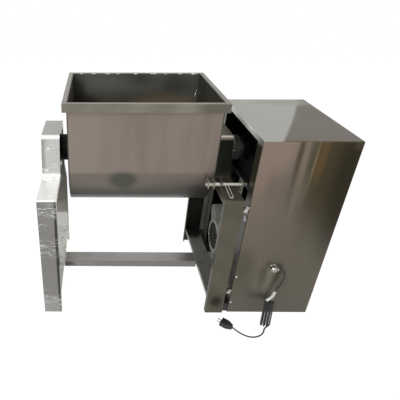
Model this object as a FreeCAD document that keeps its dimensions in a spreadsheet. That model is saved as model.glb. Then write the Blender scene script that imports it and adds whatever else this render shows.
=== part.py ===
"""Tilting horizontal dough kneader: a steel trough hung between two folded stands, turned by a
belt and gearbox drive under a sheet-metal cover. All sizes in millimetres.

Frame: X runs from the plain stand to the drive cover, Y from the lock-pin side to the far side,
Z up. The origin is on the floor under the middle of the machine.
"""
import FreeCAD, Part
import math
import os
import re
import Sketcher

V = FreeCAD.Vector
ALONG_X = FreeCAD.Rotation(V(0, 1, 0), 90)

# Driving sizes: alias, value, what it is
SIZES = [
    ("stand_front", -334, "Y of the stands' front faces"),
    ("stand_depth", 640, "front to back of a stand"),
    ("stand_width", 87, "width of a stand"),
    ("stand_height", 852, "top of the column"),
    ("stand_sheet", 3, "thickness of the stands' folded sheet"),
    ("stand_bend", 12, "outer radius of the stands' bends"),
    ("stand_flange", 25, "width of the stands' return flanges"),
    ("left_stand_x", -673, "outer face of the plain stand"),
    ("right_stand_x", 150, "inner face of the drive-side stand"),
    ("shoulder_height", 663, "top of the wide body in front of the column"),
    ("column_base_front", -100, "Y where the column's front meets the shoulder"),
    ("column_top_front", -50, "Y of the column's front at its top"),
    ("column_top_back", 175, "Y of the column's back at its top"),
    ("column_base_back", 185, "Y of the column's back at its foot"),
    ("column_foot_height", 610, "Z where the back slope starts"),
    ("back_bend_height", 475, "Z where the back slope ends"),
    ("floor_plate_top", 103, "top of the floor plate inside a stand"),
    ("floor_plate_lip", 20, "depth of the floor plate's lips"),
    ("bar_depth", 80, "crossbar tube, front to back"),
    ("bar_height", 40, "crossbar tube height"),
    ("bar_wall", 3, "crossbar tube wall"),
    ("bar_drop", 3, "crossbar top below the floor plate's top"),
    ("axis_y", 60, "Y of the trough and agitator axis"),
    ("axis_z", 750, "Z of the trough and agitator axis"),
    ("trough_left", -538, "outer face of the trough's left end plate"),
    ("trough_right", 131, "outer face of the trough's right end plate"),
    ("trough_radius", 256, "outer radius of the trough's round bottom"),
    ("trough_top", 1057, "top of the trough's rim"),
    ("trough_sheet", 4, "trough wall"),
    ("end_plate", 5, "trough end plates"),
    ("rim_width", 18, "width of the rim rail"),
    ("rim_height", 38, "height of the rim rail"),
    ("rim_wall", 2, "wall of the rim rail"),
    ("trunnion_radius", 40, "trunnion sleeve's outer radius"),
    ("trunnion_flange_radius", 60, "trunnion flange radius"),
    ("trunnion_flange", 10, "trunnion flange thickness"),
    ("trunnion_bore", 30, "bore of the trunnion sleeve"),
    ("trunnion_bolt_circle", 50, "radius of the trunnion bolt circle"),
    ("bearing_plate", 10, "plate that carries a bearing housing"),
    ("bearing_plate_margin", 15, "bearing plate below the housing's flange"),
    ("hub_radius", 65, "bearing housing's outer radius"),
    ("hub_gap", 5, "gap between bearing housing and trunnion flange, plain side"),
    ("drive_hub_gap", 3, "the same gap on the drive side"),
    ("boss_radius", 50, "bearing housing's boss behind the plate"),
    ("boss_length", 42, "length of that boss"),
    ("bush_wall", 5, "wall of the bearing bushes"),
    ("running_gap", 0.05, "radial running clearance"),
    ("seat_gap", 0.3, "clearance where pieces seat loosely"),
    ("shaft_radius", 25, "agitator shaft radius"),
    ("shaft_left_reach", 112, "agitator shaft beyond the trough's left end plate"),
    ("seal_radius", 45, "shaft seal ring radius"),
    ("seal_width", 12, "shaft seal ring width"),
    ("arm_radius", 228, "radius at which the kneading bars turn"),
    ("bar_radius", 14, "radius of the kneading bars"),
    ("arm_width", 50, "kneading arm width along the shaft"),
    ("arm_thickness", 22, "kneading arm thickness"),
    ("arm_hub_radius", 42, "kneading arm hub radius"),
    ("arm_hub_length", 70, "kneading arm hub length"),
    ("arm_inset", 36, "first arm from the kneading bar's end"),
    ("bar_end_gap", 20, "kneading bar's end from the trough's end plate"),
    ("bar_twist", 80, "twist of the kneading bars in degrees"),
    ("cover_left", 263, "left face of the drive cover"),
    ("cover_width", 408, "drive cover along X"),
    ("cover_front", -327, "Y of the drive cover's front face"),
    ("cover_depth", 580, "drive cover front to back"),
    ("cover_height", 940, "drive cover height"),
    ("cover_sheet", 2, "drive cover sheet"),
    ("cover_bend", 5, "outer bend radius of the cover"),
    ("cover_flange", 22, "return flange along the cover's top and its closed side"),
    ("cover_side_flange", 58, "upright return flanges of the cover's open side"),
    ("rail_height", 50, "height of the base rails"),
    ("rail_width", 50, "width of the base rails"),
    ("rail_wall", 4, "wall of the rails"),
    ("rail_notch", 2, "clearance of the cover's notches round the base rails"),
    ("tie_bar", 6, "thickness of the bar that ties the rails to the stand"),
    ("tie_inset", 14, "tie bar's ends from the stand's front and back"),
    ("rail_front", -290, "Y of the front base rail"),
    ("rail_spread", 468, "distance between the base rails"),
    ("motor_rail_height", 45, "height of the motor's rails"),
    ("table_left", 335, "left edge of the gearbox table"),
    ("table_length", 258, "gearbox table along X"),
    ("table_top", 600, "top of the gearbox table"),
    ("table_plate", 10, "gearbox table plate"),
    ("leg_width", 40, "table leg angle width"),
    ("leg_wall", 4, "table leg wall"),
    ("gearbox_left", 350, "left face of the gearbox"),
    ("gearbox_width", 200, "gearbox along X"),
    ("boss_width", 16, "how far the bearing bosses stand out of the casing"),
    ("shaft_seat", 70, "how far a shaft reaches into the casing"),
    ("gear_centres", 200, "output shaft to input shaft of the gearbox"),
    ("output_arc", 126, "radius of the casing round the output shaft"),
    ("input_arc", 88, "radius of the casing round the input shaft"),
    ("casing_flange", 14, "thickness of each casing flange"),
    ("casing_lip", 14, "how far the casing flanges stand out"),
    ("cap_radius", 58, "output bearing cap radius"),
    ("input_cap_radius", 42, "input bearing cap radius"),
    ("cap_width", 12, "bearing cap thickness"),
    ("input_shaft_radius", 16, "gearbox input shaft radius"),
    ("coupling_left", 246, "left end of the shaft coupling"),
    ("coupling_hub", 22, "length of a coupling hub"),
    ("coupling_hub_radius", 40, "radius of a coupling hub"),
    ("coupling_flange", 14, "thickness of a coupling flange"),
    ("coupling_radius", 64, "radius of a coupling flange"),
    ("coupling_gap", 1, "gap between the coupling's flanges"),
    ("pulley_gap", 18, "gap between the motor's end shield and its pulley"),
    ("pulley_width", 44, "width of the belt pulleys"),
    ("big_pulley_radius", 125, "gearbox pulley radius"),
    ("motor_pulley_radius", 50, "motor pulley radius"),
    ("belt_top", 15, "belt width at its top"),
    ("belt_bottom", 9, "belt width at its inside"),
    ("belt_depth", 10, "belt thickness"),
    ("groove_pitch", 20, "distance between the belts"),
    ("groove_gap", 0.5, "clearance between belt and groove"),
    ("motor_y", 76, "Y of the motor shaft"),
    ("motor_z", 195, "Z of the motor shaft"),
    ("motor_left", 262, "left face of the motor's fan cover"),
    ("fan_cover_radius", 100, "fan cover radius"),
    ("fan_cover_length", 68, "fan cover length"),
    ("fan_cover_sheet", 2, "fan cover sheet"),
    ("motor_body_left", 336, "left end of the finned motor body"),
    ("motor_body_length", 220, "finned motor body length"),
    ("motor_core_radius", 86, "motor body radius under the fins"),
    ("fin_height", 12, "height of the cooling fins"),
    ("fin_width", 3, "thickness of the cooling fins"),
    ("fin_count", 28, "cooling fins round the motor"),
    ("shield_width", 16, "thickness of the motor's end shields"),
    ("shield_nose", 6, "nose of the drive end's shield round the shaft"),
    ("motor_shaft_radius", 14, "motor shaft radius"),
    ("foot_height", 14, "thickness of the motor's feet"),
    ("foot_width", 34, "width of a motor foot"),
    ("foot_spread", 80, "motor foot from the shaft, sideways"),
    ("box_width", 88, "terminal box across the motor"),
    ("box_rise", 96, "terminal box height"),
    ("box_left", 266, "left end of the terminal box"),
    ("box_length", 72, "terminal box along the motor"),
    ("grille_pitch", 22, "distance between the fan cover's slots"),
    ("grille_slot", 10, "height of the fan cover's slots"),
    ("motor_foot_inset", 52, "motor feet from the body's ends"),
    ("box_turn", 35, "turn of the terminal box about the motor axis"),
    ("box_lid", 6, "thickness of the terminal box lid"),
    ("pin_radius", 8, "lock pin radius"),
    ("pin_left", 88, "left end of the lock pin"),
    ("pin_length", 188, "lock pin length"),
    ("pin_y", -214, "Y of the lock pin"),
    ("pin_rise", 20, "lock pin above the shoulder"),
    ("guide_left", 154, "left face of the pin guide"),
    ("guide_length", 99, "pin guide along X"),
    ("guide_sheet", 5, "pin guide thickness"),
    ("guide_depth", 50, "pin guide front to back"),
    ("guide_rise", 44, "pin guide height"),
    ("guide_drop", 40, "how far the outer guide plate hangs below the shoulder"),
    ("lug_left", 95, "left face of the first keeper lug"),
    ("lug_sheet", 5, "keeper lug thickness"),
    ("lug_pitch", 26, "distance between the keeper lugs"),
    ("lug_front", -236, "Y of the lugs' front edge"),
    ("lug_depth", 56, "lugs front to back before they meet the trough"),
    ("lug_drop", 11, "how far the lugs reach below the middle of the pin"),
    ("lug_rise", 36, "height of the lugs"),
    ("clip_wire", 2, "radius of the hairpin wire"),
    ("clip_x", 176, "X of the hairpin in the lock pin"),
    ("clip_spread", 7, "half width of the hairpin"),
    ("clip_length", 96, "hairpin leg length"),
    ("bracket_width", 24, "cover bracket front to back"),
    ("bracket_rise", 44, "cover bracket height"),
    ("bracket_sheet", 3, "cover bracket sheet"),
    ("upper_bracket", 612, "Z of the upper cover brackets"),
    ("lower_bracket", 135, "Z of the lower cover brackets"),
    ("closing_foot", 100, "Z of the lower end of the plate that closes the gap behind the stand"),
    ("closing_height", 480, "height of the plate that closes the gap behind the stand"),
    ("gland_x", 436, "X of the cable gland"),
    ("gland_z", 297, "Z of the cable gland"),
    ("gland_radius", 16, "cable gland radius"),
    ("gland_reach", 32, "how far the cable gland stands out of the cover"),
    ("gland_spout", 22, "spout of the gland from its middle"),
    ("cord_radius", 3.5, "mains cord radius"),
    ("hank_width", 28, "width of the folded cord"),
    ("hank_depth", 27, "thickness of the folded cord"),
    ("hank_length", 136, "length of the folded cord"),
    ("plug_length", 58, "plug body"),
    ("plug_width", 42, "plug width at its pins"),
    ("plug_neck", 14, "plug width at the cord"),
    ("plug_height", 26, "plug thickness"),
    ("plug_pin_radius", 2.4, "radius of a plug pin"),
    ("plug_pin_length", 19, "length of a plug pin"),
]

# Places that follow from the sizes above
LOCK_PIN_LEVEL = "(shoulder_height + pin_rise)"
LUG_FOOT = "(shoulder_height + pin_rise - lug_drop)"
PULLEY_LEFT = "(motor_body_left + motor_body_length + shield_width + shield_nose + pulley_gap)"
BEARING_PLATE_FOOT = "(axis_z - hub_radius - bearing_plate_margin)"

# Route of the mains cord after the gland's sleeve, down to the hank, and from the hank to the plug:
# X from the gland's middle, Y from the cover's front, Z from the floor
DROP_ROUTE = [
    V(42, -19.6, 296), V(53, -24, 282), V(57, -29, 260), V(54, -30, 234), V(47, -28, 206),
    V(38, -26, 178), V(31, -24, 150), V(26, -23, 122), V(22, -25, 86),
]
LEAD_ROUTE = [
    V(-18, -107, 20), V(-23, -121, 12), V(-29, -136, 6), V(-41, -151, 4), V(-59, -162, 4),
    V(-83, -170, 4), V(-110, -168, 4), V(-136, -154, 4), V(-158, -135, 6), V(-178, -117, 13),
]
HANK_ENDS = [V(25, -14, 94), V(-24, -119, 15)]
PLUG_WAY = V(-52, 44, 0)

doc = FreeCAD.newDocument("dough_kneader")
sheet = doc.addObject("Spreadsheet::Sheet", "sizes")
ALIASES = {name for name, value, meaning in SIZES}
PARTS = []


def fill_sheet():
    """Writes every driving size into the sheet with its alias and meaning."""
    for row, (name, value, meaning) in enumerate(SIZES, start=1):
        sheet.set("A%d" % row, meaning)
        sheet.set("B%d" % row, str(value))
        sheet.setAlias("B%d" % row, name)
    doc.recompute()


def size(name):
    """One driving size as a number."""
    return float(getattr(sheet, name))


def formula(text):
    """The text with each alias pointing at the sheet."""
    def point(match):
        word = match.group(0)
        return "sizes." + word if word in ALIASES else word
    return re.sub(r"[a-z_]+", point, str(text))


def number(text):
    """The value of a formula in the sheet's sizes."""
    return float(sheet.evalExpression(formula(text)))


def bind(obj, prop, text):
    """Binds a property to a formula in the sheet's sizes."""
    obj.setExpression(prop, formula(text))


def settle(obj, label):
    """Marks an object as a finished sub-part that gets a file of its own."""
    obj.Label = label
    PARTS.append(obj)
    return obj


def place(obj, x=0, y=0, z=0, rotation=None):
    """Binds an object's place to three formulas."""
    if rotation is not None:
        obj.Placement = FreeCAD.Placement(V(0, 0, 0), rotation)
    for axis, text in zip("xyz", (x, y, z)):
        bind(obj, "Placement.Base." + axis, text)
    return obj


def box(x, y, z, length, width, height):
    """A box from its low corner and its three sides."""
    obj = doc.addObject("Part::Box", "box")
    for prop, text in zip(("Length", "Width", "Height"), (length, width, height)):
        bind(obj, prop, text)
    return place(obj, x, y, z)


def rod(x, y, z, radius, length):
    """A cylinder along X from the middle of its left face."""
    obj = doc.addObject("Part::Cylinder", "rod")
    bind(obj, "Radius", radius)
    bind(obj, "Height", length)
    return place(obj, x, y, z, ALONG_X)


def cut(base, *tools):
    """The base with the tools taken away one after another."""
    for tool in tools:
        result = doc.addObject("Part::Cut", "cut")
        result.Base = base
        result.Tool = tool
        base = result
    return base


def fuse(*shapes):
    """Several overlapping shapes as one solid."""
    obj = doc.addObject("Part::MultiFuse", "fuse")
    obj.Shapes = list(shapes)
    obj.Refine = True
    return obj


def group(*shapes):
    """Several separate solids under one name."""
    obj = doc.addObject("Part::Compound", "group")
    obj.Links = list(shapes)
    return obj


def plane_of(body, role):
    """One of a body's own origin planes."""
    return [f for f in body.Origin.OriginFeatures if f.Role == role][0]


def sketch(body, role, offset, points):
    """A closed outline of straight lines on an origin plane, each corner bound to its formulas."""
    drawing = body.newObject("Sketcher::SketchObject", "outline")
    drawing.AttachmentSupport = (plane_of(body, role), "")
    drawing.MapMode = "FlatFace"
    bind(drawing, "AttachmentOffset.Base.z", offset)
    values = [(number(a), number(b)) for a, b in points]
    count = len(points)
    for i in range(count):
        start = V(*values[i], 0)
        end = V(*values[(i + 1) % count], 0)
        drawing.addGeometry(Part.LineSegment(start, end))
    for i in range(count):
        drawing.addConstraint(Sketcher.Constraint("Coincident", i, 2, (i + 1) % count, 1))
    for i, pair in enumerate(points):
        for kind, text, value in zip(("DistanceX", "DistanceY"), pair, values[i]):
            where = drawing.addConstraint(Sketcher.Constraint(kind, -1, 1, i, 1, value))
            bind(drawing, "Constraints[%d]" % where, text)
    return drawing


def circles(body, role, offset, spots):
    """Circles on an origin plane, each from two formulas for its centre and one for its radius."""
    drawing = body.newObject("Sketcher::SketchObject", "circles")
    drawing.AttachmentSupport = (plane_of(body, role), "")
    drawing.MapMode = "FlatFace"
    bind(drawing, "AttachmentOffset.Base.z", offset)
    for i, (a, b, radius) in enumerate(spots):
        centre = V(number(a), number(b), 0)
        drawing.addGeometry(Part.Circle(centre, V(0, 0, 1), number(radius)))
        for kind, text in (("DistanceX", a), ("DistanceY", b)):
            where = drawing.addConstraint(Sketcher.Constraint(kind, -1, 1, i, 3, number(text)))
            bind(drawing, "Constraints[%d]" % where, text)
        where = drawing.addConstraint(Sketcher.Constraint("Radius", i, number(radius)))
        bind(drawing, "Constraints[%d]" % where, radius)
    return drawing


def pad(body, drawing, length):
    """Raises a sketch along its plane's normal."""
    feature = body.newObject("PartDesign::Pad", "pad")
    feature.Profile = drawing
    bind(feature, "Length", length)
    doc.recompute()
    return feature


def pocket(body, drawing, depth=None):
    """Cuts a sketch along its plane's normal, all the way through both ways without a depth."""
    before = body.Shape.Volume
    feature = body.newObject("PartDesign::Pocket", "pocket")
    feature.Profile = drawing
    if depth is None:
        feature.Type = "ThroughAll"
        feature.SideType = "Symmetric"
    else:
        feature.Reversed = True
        bind(feature, "Length", depth)
    doc.recompute()
    if not feature.Shape.Volume < before - 1e-3:
        raise RuntimeError("a pocket in %s cut nothing" % body.Label)
    return feature


def panel(role, offset, length, points):
    """A body with one padded outline."""
    body = doc.addObject("PartDesign::Body", "body")
    pad(body, sketch(body, role, offset, points), length)
    return body


def edges_along(shape, axis, keep):
    """Names of the straight edges along an axis whose middle passes a test."""
    names = []
    for index, edge in enumerate(shape.Edges, start=1):
        if len(edge.Vertexes) != 2 or edge.Curve.TypeId != "Part::GeomLine":
            continue
        run = edge.Vertexes[1].Point - edge.Vertexes[0].Point
        middle = edge.CenterOfMass
        if run.getAngle(axis) % math.pi < 1e-4 or math.pi - run.getAngle(axis) < 1e-4:
            if keep(middle):
                names.append("Edge%d" % index)
    return names


def round_edges(body, axis, radius, keep):
    """Fillets the straight edges along an axis that pass a test."""
    tip = body.Tip
    feature = body.newObject("PartDesign::Fillet", "bends")
    feature.Base = (tip, edges_along(tip.Shape, axis, keep))
    bind(feature, "Radius", radius)
    doc.recompute()
    return feature


def hollow(body, wall, open_at):
    """Leaves walls inside the outer form, open at the flat faces that pass a test."""
    tip = body.Tip
    names = []
    for index, face in enumerate(tip.Shape.Faces, start=1):
        if face.Surface.TypeId == "Part::GeomPlane" and open_at(face.CenterOfMass, face.normalAt(0, 0)):
            names.append("Face%d" % index)
    feature = body.newObject("PartDesign::Thickness", "walls")
    feature.Base = (tip, names)
    feature.Reversed = True
    bind(feature, "Value", wall)
    doc.recompute()
    return feature


def turned(points, y="axis_y", z="axis_z"):
    """A body turned about a line along X; the points are (X, radius)."""
    body = doc.addObject("PartDesign::Body", "turned")
    drawing = sketch(body, "XY_Plane", 0, points)
    feature = body.newObject("PartDesign::Revolution", "revolution")
    feature.Profile = drawing
    feature.ReferenceAxis = (drawing, ["H_Axis"])
    feature.Angle = 360
    doc.recompute()
    place(body, 0, y, z)
    return body


def ring(left, length, outer, inner, y="axis_y", z="axis_z"):
    """A plain ring about a line along X."""
    right = "%s + %s" % (left, length)
    return turned([(left, inner), (right, inner), (right, outer), (left, outer)], y, z)


def bolt_x(x, y, z, radius, length, head_at_left=True):
    """A hexagon bolt along X; x is the face under its head and the shank runs away from the head."""
    rise = "%s * 1.3" % radius
    head = doc.addObject("Part::Prism", "head")
    head.Polygon = 6
    bind(head, "Circumradius", "%s * 1.9" % radius)
    bind(head, "Height", rise)
    if head_at_left:
        place(head, "%s - %s" % (x, rise), y, z, ALONG_X)
        shank = rod("%s - 1" % x, y, z, radius, "%s + 1" % length)
    else:
        place(head, x, y, z, ALONG_X)
        shank = rod("%s - %s" % (x, length), y, z, radius, "%s + 1" % length)
    return fuse(head, shank)


def on_circle(count, radius, turn=0, y="axis_y", z="axis_z"):
    """Formulas for points spread evenly on a circle across the X axis."""
    spots = []
    for i in range(count):
        angle = math.radians(turn + 360 * i / count)
        spots.append(("%s + %s * %.9f" % (y, radius, math.cos(angle)),
                      "%s + %s * %.9f" % (z, radius, math.sin(angle))))
    return spots


def stand_outline():
    """The stand's side view as (Y, Z) formulas, from the front foot round to the back foot."""
    return [
        ("stand_front", "0"), ("stand_front", "shoulder_height"),
        ("column_base_front", "shoulder_height"), ("column_top_front", "stand_height"),
        ("column_top_back", "stand_height"), ("column_base_back", "column_foot_height"),
        ("stand_front + stand_depth", "back_bend_height"), ("stand_front + stand_depth", "0"),
    ]


def inset(points, distance, foot):
    """A clockwise outline moved inwards by a distance, with its two foot corners at a height."""
    values = [V(number(a), number(b), 0) for a, b in points]
    count = len(values)
    moved = []
    for i in range(count):
        before, here, after = values[i - 1], values[i], values[(i + 1) % count]
        first = (here - before).normalize()
        second = (after - here).normalize()
        inward = V(first.y, -first.x, 0)
        turn = first.getAngle(second) * (1 if first.cross(second).z < 0 else -1)
        corner = here + inward * distance + first * (-distance * math.tan(turn / 2))
        moved.append(corner)
    moved[0] = V(moved[0].x, foot, 0)
    moved[-1] = V(moved[-1].x, foot, 0)
    return [("%.6f" % p.x, "%.6f" % p.y) for p in moved]


def stand_wrap(label, left, open_faces):
    """The folded strip of one stand with a return flange along each side that is open."""
    body = panel("YZ_Plane", left, "stand_width", stand_outline())
    round_edges(body, V(1, 0, 0), "stand_bend", lambda m: m.z > 1)
    hollow(body, "stand_sheet", lambda c, n: n.z < -0.99 and c.z < 1)
    window = inset(stand_outline(), size("stand_flange"), -1)
    for offset, depth in open_faces:
        pocket(body, sketch(body, "YZ_Plane", offset, window), depth)
    return settle(body, label)


def floor_plate(left):
    """The folded plate across a stand above its feet, lips down."""
    start = "stand_front + stand_sheet + seat_gap"
    depth = "stand_depth - 2 * (stand_sheet + seat_gap)"
    inner = "%s + stand_sheet + seat_gap" % left
    inner_width = "stand_width - 2 * (stand_sheet + seat_gap)"
    blank = box(inner, start, "floor_plate_top - floor_plate_lip", inner_width, depth, "floor_plate_lip")
    space = box("%s + stand_sheet" % inner, "%s - 1" % start, "floor_plate_top - floor_plate_lip - 1",
                "%s - 2 * stand_sheet" % inner_width, "%s + 2" % depth,
                "floor_plate_lip + 1 - stand_sheet")
    return cut(blank, space)


def column_plate_outline():
    """The bearing plate's (Y, Z) outline between the column's front and back walls."""
    slope = "(column_top_front - column_base_front) / (stand_height - shoulder_height)"
    back_slope = "(column_base_back - column_top_back) / (stand_height - column_foot_height)"
    gap = "(stand_sheet + seat_gap) * sqrt(1 + (%s)^2)" % slope
    back_gap = "(stand_sheet + seat_gap) * sqrt(1 + (%s)^2)" % back_slope
    top = "stand_height - stand_sheet - seat_gap"
    low = BEARING_PLATE_FOOT
    points = []
    for level in (low, top):
        points.append(("column_base_front + (%s - shoulder_height) * %s + %s"
                       % (level, slope, gap), level))
    for level in (top, low):
        points.append(("column_top_back + (stand_height - (%s)) * %s - %s"
                       % (level, back_slope, back_gap), level))
    return points


def bearing_plate(left):
    """The plate in a stand's column that a bearing housing is bolted to."""
    body = panel("YZ_Plane", left, "bearing_plate", column_plate_outline())
    round_edges(body, V(1, 0, 0), "stand_bend - stand_sheet", lambda m: m.z > number("axis_z"))
    holes = [("axis_y", "axis_z", "boss_radius + seat_gap")]
    for y, z in on_circle(4, "(hub_radius - 7.5)", 45):
        holes.append((y, z, "4 + seat_gap"))
    pocket(body, circles(body, "YZ_Plane", left, holes))
    return body


def bearing_housing(label, plate_face, front, back):
    """A cast flange with a boss through the bearing plate, bored for its bush."""
    body = turned([
        (front, "trunnion_radius + bush_wall"), (back, "trunnion_radius + bush_wall"),
        (back, "boss_radius"), (plate_face, "boss_radius"),
        (plate_face, "hub_radius"), (front, "hub_radius"),
    ])
    holes = [(y, z, "4") for y, z in on_circle(4, "(hub_radius - 7.5)", 45, "0", "0")]
    drawing = circles(body, "YZ_Plane", "%s + (%s - (%s)) * 0.7" % (plate_face, front, plate_face), holes)
    before = body.Shape.Volume
    feature = body.newObject("PartDesign::Pocket", "bolt_holes")
    feature.Profile = drawing
    feature.Reversed = number(plate_face) > number(front)
    bind(feature, "Length", "abs(%s - (%s)) * 0.7" % (plate_face, front))
    doc.recompute()
    if not feature.Shape.Volume < before - 1:
        raise RuntimeError("bolt holes of %s cut nothing" % label)
    return settle(body, label)


def stands():
    """Both stands with their floor plates, bearing plates and the crossbar between them."""
    left_inner = "left_stand_x + stand_width"
    right_outer = "right_stand_x + stand_width"
    stand_wrap("left_stand_wrap", "left_stand_x",
               [("left_stand_x - 1", "stand_sheet + 2"),
                ("%s - stand_sheet - 1" % left_inner, "stand_sheet + 2")])
    side = panel("YZ_Plane", "left_stand_x + stand_sheet", "stand_sheet",
                 inset(stand_outline(), size("stand_sheet") + size("seat_gap"),
                       size("floor_plate_top") + size("seat_gap")))
    round_edges(side, V(1, 0, 0), "stand_bend - stand_sheet",
                lambda m: m.z > number("floor_plate_top + 5"))
    settle(side, "left_stand_panel")
    stand_wrap("right_stand_wrap", "right_stand_x",
               [("right_stand_x - 1", "stand_sheet + 2"),
                ("%s - stand_sheet - 1" % right_outer, "stand_sheet + 2")])
    settle(group(floor_plate("left_stand_x"), floor_plate("right_stand_x")), "floor_plates")
    settle(group(bearing_plate("%s - stand_sheet - bearing_plate" % left_inner),
                 bearing_plate("right_stand_x + stand_sheet")), "bearing_plates")
    gap = "(stand_sheet + seat_gap)"
    bar = box("%s - %s" % (left_inner, gap), "-bar_depth / 2", "floor_plate_top - bar_drop - bar_height",
              "right_stand_x - (%s) + 2 * %s" % (left_inner, gap), "bar_depth", "bar_height")
    core = box("%s - %s - 1" % (left_inner, gap), "-bar_depth / 2 + bar_wall",
               "floor_plate_top - bar_drop - bar_height + bar_wall",
               "right_stand_x - (%s) + 2 * %s + 2" % (left_inner, gap), "bar_depth - 2 * bar_wall",
               "bar_height - 2 * bar_wall")
    settle(cut(bar, core), "crossbar")


def bearings():
    """Housings, bushes and bolts that carry the trough's trunnions."""
    left_face = "(left_stand_x + stand_width - stand_sheet)"
    left_front = "(trough_left - trunnion_flange - hub_gap)"
    left_back = "(%s - bearing_plate - boss_length)" % left_face
    right_face = "(right_stand_x + stand_sheet)"
    right_front = "(trough_right + trunnion_flange + drive_hub_gap)"
    right_back = "(%s + bearing_plate + boss_length)" % right_face
    bearing_housing("left_bearing_housing", left_face, left_front, left_back)
    bearing_housing("right_bearing_housing", right_face, right_front, right_back)
    bushes = []
    for low, high in ((left_back, left_front), (right_front, right_back)):
        bushes.append(ring(low, "(%s - %s)" % (high, low), "trunnion_radius + bush_wall",
                           "trunnion_radius + running_gap"))
    settle(group(*bushes), "bearing_bushes")
    bolts = []
    reach = "bearing_plate + (%s - %s) * 0.6"
    for y, z in on_circle(4, "(hub_radius - 7.5)", 45):
        bolts.append(bolt_x("(%s - bearing_plate)" % left_face, y, z, 4,
                            reach % (left_front, left_face), True))
        bolts.append(bolt_x("(%s + bearing_plate)" % right_face, y, z, 4,
                            reach % (right_face, right_front), False))
    settle(group(*bolts), "bearing_bolts")


def u_sketch(body, offset, radius, inner=None):
    """A U-shaped outline with a round bottom; with an inner radius it is an open band."""
    drawing = body.newObject("Sketcher::SketchObject", "section")
    drawing.AttachmentSupport = (plane_of(body, "YZ_Plane"), "")
    drawing.MapMode = "FlatFace"
    bind(drawing, "AttachmentOffset.Base.z", offset)
    y, z, top = size("axis_y"), size("axis_z"), number("trough_top - seat_gap")
    centre = V(y, z, 0)
    radii = [radius] if inner is None else [radius, inner]
    spans = [number(text) for text in radii]
    arcs = []
    for span in spans:
        arc = Part.ArcOfCircle(Part.Circle(centre, V(0, 0, 1), span), math.pi, 2 * math.pi)
        arcs.append(drawing.addGeometry(arc))
        drawing.addGeometry(Part.LineSegment(V(y + span, z, 0), V(y + span, top, 0)))
        drawing.addGeometry(Part.LineSegment(V(y - span, top, 0), V(y - span, z, 0)))
    if inner is None:
        drawing.addGeometry(Part.LineSegment(V(y + spans[0], top, 0), V(y - spans[0], top, 0)))
    else:
        drawing.addGeometry(Part.LineSegment(V(y + spans[0], top, 0), V(y + spans[1], top, 0)))
        drawing.addGeometry(Part.LineSegment(V(y - spans[1], top, 0), V(y - spans[0], top, 0)))
    link = lambda a, b, c, d: drawing.addConstraint(Sketcher.Constraint("Coincident", a, b, c, d))
    for i, arc in enumerate(arcs):
        link(arc, 2, arc + 1, 1)
        link(arc, 1, arc + 2, 2)
        drawing.addConstraint(Sketcher.Constraint("Vertical", arc + 1))
        drawing.addConstraint(Sketcher.Constraint("Vertical", arc + 2))
        for kind, text in (("DistanceX", "axis_y"), ("DistanceY", "axis_z")):
            where = drawing.addConstraint(Sketcher.Constraint(kind, -1, 1, arc, 3, number(text)))
            bind(drawing, "Constraints[%d]" % where, text)
        where = drawing.addConstraint(Sketcher.Constraint("Radius", arc, spans[i]))
        bind(drawing, "Constraints[%d]" % where, radii[i])
        for line, end in ((arc + 1, 2), (arc + 2, 1)):
            where = drawing.addConstraint(Sketcher.Constraint("DistanceY", -1, 1, line, end, top))
            bind(drawing, "Constraints[%d]" % where, "trough_top - seat_gap")
    if inner is None:
        link(3, 1, 1, 2)
        link(3, 2, 2, 1)
    else:
        link(6, 1, 1, 2)
        link(6, 2, 4, 2)
        link(7, 1, 5, 1)
        link(7, 2, 2, 1)
    return drawing


def trough():
    """The trough: bent shell, two end plates and the rim rails round its mouth."""
    body = doc.addObject("PartDesign::Body", "shell")
    length = "trough_right - trough_left - 2 * end_plate"
    pad(body, u_sketch(body, "trough_left + end_plate", "trough_radius", "trough_radius - trough_sheet"),
        length)
    settle(body, "trough_shell")
    for label, left in (("trough_left_end", "trough_left"),
                        ("trough_right_end", "trough_right - end_plate")):
        end = doc.addObject("PartDesign::Body", "end")
        pad(end, u_sketch(end, left, "trough_radius"), "end_plate")
        holes = [("axis_y", "axis_z", "trunnion_bore + seat_gap")]
        for y, z in on_circle(6, "trunnion_bolt_circle"):
            holes.append((y, z, "4 + seat_gap"))
        pocket(end, circles(end, "YZ_Plane", left, holes))
        settle(end, label)
    rim()


def rim():
    """Four hollow rails with mitred corners, outside the trough's walls at its mouth."""
    left, right = "trough_left", "trough_right"
    front, back = "axis_y - trough_radius", "axis_y + trough_radius"
    wide = "rim_width"
    level = "trough_top - rim_height"
    outer = [("%s - %s" % (left, wide), "%s - %s" % (front, wide)),
             ("%s + %s" % (right, wide), "%s - %s" % (front, wide)),
             ("%s + %s" % (right, wide), "%s + %s" % (back, wide)),
             ("%s - %s" % (left, wide), "%s + %s" % (back, wide))]
    inner = [(left, front), (right, front), (right, back), (left, back)]
    rails = []
    for i in range(4):
        k = (i + 1) % 4
        body = panel("XY_Plane", level, "rim_height", [outer[i], outer[k], inner[k], inner[i]])
        hollow(body, "rim_wall",
               lambda c, n: abs(n.z) < 0.1 and abs(abs(n.x) - abs(n.y)) < 0.1)
        rails.append(body)
    settle(group(rails[0], rails[2]), "rim_long_rails")
    settle(group(rails[1], rails[3]), "rim_end_rails")


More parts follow.
